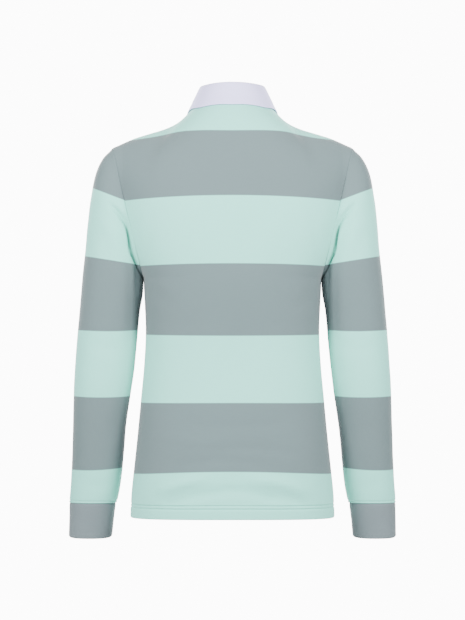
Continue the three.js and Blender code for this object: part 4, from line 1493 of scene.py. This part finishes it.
def model_button():
    """A flat button that lies on Z = 0 in metres, with its top up."""
    bpy.ops.object.select_all(action="DESELECT")
    radius, height = BUTTON_RADIUS * MM, BUTTON_HEIGHT * MM
    bpy.ops.mesh.primitive_cylinder_add(vertices=48, radius=radius, depth=height, location=(0, 0, height / 2))
    button = bpy.context.object
    button.name = "button_model"
    bpy.ops.object.transform_apply(location=True)
    bpy.ops.object.mode_set(mode="EDIT")
    bpy.ops.mesh.select_mode(type="FACE")
    select_faces(button, lambda face: face.normal.z > 0.9)
    bpy.ops.mesh.inset(thickness=BUTTON_RIM * MM)
    bpy.ops.mesh.inset(thickness=BUTTON_SLOPE * MM)
    bpy.ops.transform.translate(value=(0, 0, -BUTTON_DISH * MM))
    bpy.ops.object.mode_set(mode="OBJECT")
    edges = button.modifiers.new("edges", "BEVEL")
    edges.width = BUTTON_EDGE * MM
    edges.segments = 3
    edges.limit_method = "ANGLE"
    edges.angle_limit = math.radians(30)
    bpy.ops.object.modifier_apply(modifier="edges")
    for x in (-HOLE_SPREAD, HOLE_SPREAD):
        for y in (-HOLE_SPREAD, HOLE_SPREAD):
            drill_hole(button, x, y)
    return button


button_model = model_button()
print("button faces:", len(button_model.data.polygons))

# %% Set the buttons on the placket
BUTTON_HEIGHTS = (-92, -141, -190)
BUTTON_CLEARANCE = 0.5


def front_row_at(height):
    """The front's middle row at a height, found by halving."""
    low, high = TOP_ROW - PLACKET_ROWS, TOP_ROW
    while high - low > 0.001:
        middle = (low + high) / 2
        if panel_point("front", 0, middle)[2] < height:
            low = middle
        else:
            high = middle
    return low


def button_seat(height):
    """Where a button sits on the front, in millimetres, and the way that it faces."""
    row = front_row_at(height)
    upwards = panel_point("front", 0, row + 0.3) - panel_point("front", 0, row - 0.3)
    facing = unit(np.cross(upwards, (1, 0, 0)))
    if facing[1] > 0:
        facing = -facing
    seat = panel_point("front", 0, row) + facing * (CAD_CLOTH + PLACKET_GAP + BUTTON_CLEARANCE)
    return seat, facing, unit(upwards)


button_seats = [button_seat(height) for height in BUTTON_HEIGHTS]
for number, (seat, facing, upwards) in enumerate(button_seats, start=1):
    button = bpy.data.objects.new(f"button_{number}_rubber", button_model.data.copy())
    bpy.context.collection.objects.link(button)
    sideways = np.cross(upwards, facing)
    for vertex in button.data.vertices:
        x, y, z = vertex.co
        vertex.co = Vector(seat * MM + sideways * x + upwards * y + facing * z)
    button.data.materials.clear()
    button.data.materials.append(button_rubber)
    finish_piece(button)
    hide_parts(f"button_{number}")
bpy.data.objects.remove(button_model)
print("buttons set:", len(button_seats))

# %% [markdown]
# ## Sewing
# Stitches are real small things: a thread that rises out of the cloth and dives back in. They could be
# painted, but then they would have no shadow. Here each stitch is a short bowed thread of a few dozen
# faces, and a row of them follows a line on the cloth. The lines are taken from the finished sheets, so
# the stitches lie in the grooves that were pressed for them. Only the rows that hold an edge down are
# sewn: the hem, the sleeve ends, the collar's edge and the placket.

# %% Stitches
STITCH_SIDES = 6
STITCH_RINGS = make_table(
    "along lift share",
    (-0.5, -0.32, 0.6), (-0.34, 0.02, 0.95), (0.0, 0.16, 1.0), (0.34, 0.02, 0.95), (0.5, -0.32, 0.6),
)
HEM_SEWING = dict(pitch=2.7, length=2.322, thickness=0.5)
SLEEVE_SEWING = dict(pitch=2.7, length=2.322, thickness=0.45)
EDGE_SEWING = dict(pitch=2.43, length=2.052, thickness=0.42)


def walk_line(points, facing, pitch):
    """Places about a pitch apart on a line: each one's middle, direction and facing."""
    points, facing = np.array(points), np.array(facing)
    steps = np.linalg.norm(np.diff(points, axis=0), axis=1)
    travelled = np.concatenate([[0], np.cumsum(steps)])
    count = max(int(travelled[-1] / pitch), 1)
    pitch = travelled[-1] / count

    def read(values, at):
        return np.array([np.interp(at, travelled, values[:, axis]) for axis in range(3)])

    found = []
    for index in range(count):
        centre = (index + 0.5) * pitch
        ahead = read(points, centre + 0.4 * pitch) - read(points, centre - 0.4 * pitch)
        found.append((read(points, centre), unit(ahead), unit(read(facing, centre))))
    return found


def sewn_row(line, facing, sewing):
    """A row of stitches along a line, as places, a length and a thickness."""
    return walk_line(line, facing, sewing["pitch"]), sewing["length"], sewing["thickness"]


def stitch_mesh(places, length, thickness):
    """The points and faces of a row of stitches, in millimetres."""
    points, faces = [], []
    for middle, ahead, out in places:
        side = unit(np.cross(ahead, out))
        start = len(points)
        for ring in STITCH_RINGS:
            centre = middle + ahead * ring["along"] * length + out * ring["lift"]
            for step in range(STITCH_SIDES):
                angle = 2 * math.pi * step / STITCH_SIDES
                spoke = side * math.cos(angle) + out * math.sin(angle)
                points.append(centre + spoke * thickness * ring["share"] / 2)
        last = start + (len(STITCH_RINGS) - 1) * STITCH_SIDES
        for ring in range(start, last, STITCH_SIDES):
            following = ring + STITCH_SIDES
            for step in range(STITCH_SIDES):
                turned = (step + 1) % STITCH_SIDES
                faces.append((ring + step, ring + turned, following + turned, following + step))
        faces.append([start + step for step in reversed(range(STITCH_SIDES))])
        faces.append([last + step for step in range(STITCH_SIDES)])
    return points, faces


def sew(name, rows, material):
    """One thread piece from several rows: each is a list of places, a length and a thickness."""
    points, faces = [], []
    for places, length, thickness in rows:
        row_points, row_faces = stitch_mesh(places, length, thickness)
        faces.extend([[len(points) + index for index in face] for face in row_faces])
        points.extend(row_points)
    mesh = bpy.data.meshes.new(name)
    mesh.from_pydata((np.array(points) * MM).tolist(), [], faces)
    shape = bmesh.new()
    shape.from_mesh(mesh)
    bmesh.ops.recalc_face_normals(shape, faces=shape.faces)
    shape.to_mesh(mesh)
    shape.free()
    thread = bpy.data.objects.new(name, mesh)
    bpy.context.collection.objects.link(thread)
    thread.data.materials.append(material)
    finish_piece(thread)
    print(f"{name}: {sum(len(row[0]) for row in rows)} stitches")


# %% Sew the hem and the sleeve ends
def sheet_row(sheet, places, place):
    """A sheet's own row nearest to a place, with the way it faces."""
    index = int(np.argmin(np.abs(np.asarray(places) - place)))
    return sheet.points[index], sheet.normals[index]


hem_rows = []
for sheet, rows in panels.values():
    for distance in HEM_STITCHES:
        line, facing = sheet_row(sheet, rows, distance / BODY_ROW_HEIGHT)
        hem_rows.append(sewn_row(line, facing, HEM_SEWING))
sew("hem_stitches", hem_rows, mint_thread)

for name, sheet in sleeves.items():
    along = arc_lengths(sheet.points, 0)
    from_cuff = (along[-1:] - along).mean(axis=1)
    line, facing = sheet_row(sheet, from_cuff, SLEEVE_STITCH)
    row = sewn_row(np.concatenate([line, line[:1]]), np.concatenate([facing, facing[:1]]), SLEEVE_SEWING)
    sew(f"sleeve_{name}_stitches", [row], mint_thread)

# %% Sew the collar
LEAF_OUTER_ROW = 14


def at_margin(travelled, values):
    """Reads a line of points or normals where it passes the leaf's stitch margin."""
    return [np.interp(LEAF_STITCH, travelled, values[:, axis]) for axis in range(3)]


def leaf_edge_lines():
    """Lines on the leaf one stitch margin in from its edge, and from both its front ends."""
    points, normals, across = leaf_sheet.points, leaf_sheet.normals, leaf_sheet.u
    down = arc_lengths(points, 0)
    from_edge = down[-1:] - down
    inner = int(np.argmin(np.abs(across[-1] - LEAF_STITCH)))
    columns = range(inner, points.shape[1] - inner)
    lines = [[
        [at_margin(from_edge[::-1, column], values[::-1, column]) for column in columns]
        for values in (points, normals)
    ]]
    end_rows = [row for row in range(LEAF_OUTER_ROW, len(points)) if from_edge[row, 0] >= LEAF_STITCH]
    for way in (1, -1):
        from_end = across if way > 0 else (across[:, -1:] - across)[:, ::-1]
        lines.append([
            [at_margin(from_end[row], values[row, ::way]) for row in end_rows]
            for values in (points, normals)
        ])
    return lines


collar_rows = [sewn_row(line, facing, EDGE_SEWING) for line, facing in leaf_edge_lines()]
sew("collar_stitches", collar_rows, white_thread)

# %% Sew the placket
BUTTONHOLE = dict(half_width=1.0, half_sewn=7.6, pitch=0.62, half_length=8.1, length=1.5, thickness=0.5)


def buttonhole_places(seat, facing, upwards):
    """Short stitches side by side, up and down both sides of an upright buttonhole."""
    sideways = unit(np.cross(upwards, facing))
    base = seat - facing * BUTTON_CLEARANCE
    found = []
    for side in (-1, 1):
        for step in np.arange(-BUTTONHOLE["half_sewn"], BUTTONHOLE["half_sewn"] + 0.01, BUTTONHOLE["pitch"]):
            along = base + upwards * step
            found.append((along + sideways * side * BUTTONHOLE["half_width"], sideways, facing))
    for end in (-1, 1):
        for step in (-1.2, -0.6, 0.0, 0.6, 1.2):
            across = base + upwards * end * BUTTONHOLE["half_length"]
            found.append((across + sideways * step, upwards, facing))
    return found


upper = placket_sheets["upper"]
last_column = upper.points.shape[1] - 1
edge_column = int(np.argmin(np.abs(upper.u[0] - (PLACKET_HALF_WIDTH - PLACKET_STITCH))))
bottom_row = int(np.argmin(np.abs(upper.v[:, last_column // 2] - PLACKET_STITCH)))
up_one_side = (slice(bottom_row, None), edge_column)
up_the_other = (slice(bottom_row, None), last_column - edge_column)
along_the_end = (bottom_row, slice(last_column - edge_column, edge_column + 1))
placket_rows = []
for where in (up_one_side, up_the_other, along_the_end):
    placket_rows.append(sewn_row(upper.points[where], upper.normals[where], EDGE_SEWING))
for seat in button_seats:
    placket_rows.append((buttonhole_places(*seat), BUTTONHOLE["length"], BUTTONHOLE["thickness"]))
sew("placket_stitches", placket_rows, white_thread)

# %% Sew on the buttons
STRAND = dict(apart=0.22, lift=0.1, overlap=0.5, thickness=0.45)

for number, (seat, facing, upwards) in enumerate(button_seats, start=1):
    sideways = unit(np.cross(upwards, facing))
    top = seat + facing * (BUTTON_HEIGHT - BUTTON_DISH)
    places = []
    for x in (-HOLE_SPREAD, HOLE_SPREAD):
        for offset in (-STRAND["apart"], STRAND["apart"]):
            places.append((top + sideways * (x + offset) + facing * STRAND["lift"], upwards, facing))
    row = (places, 2 * HOLE_SPREAD + STRAND["overlap"], STRAND["thickness"])
    sew(f"button_{number}_thread", [row], white_thread)
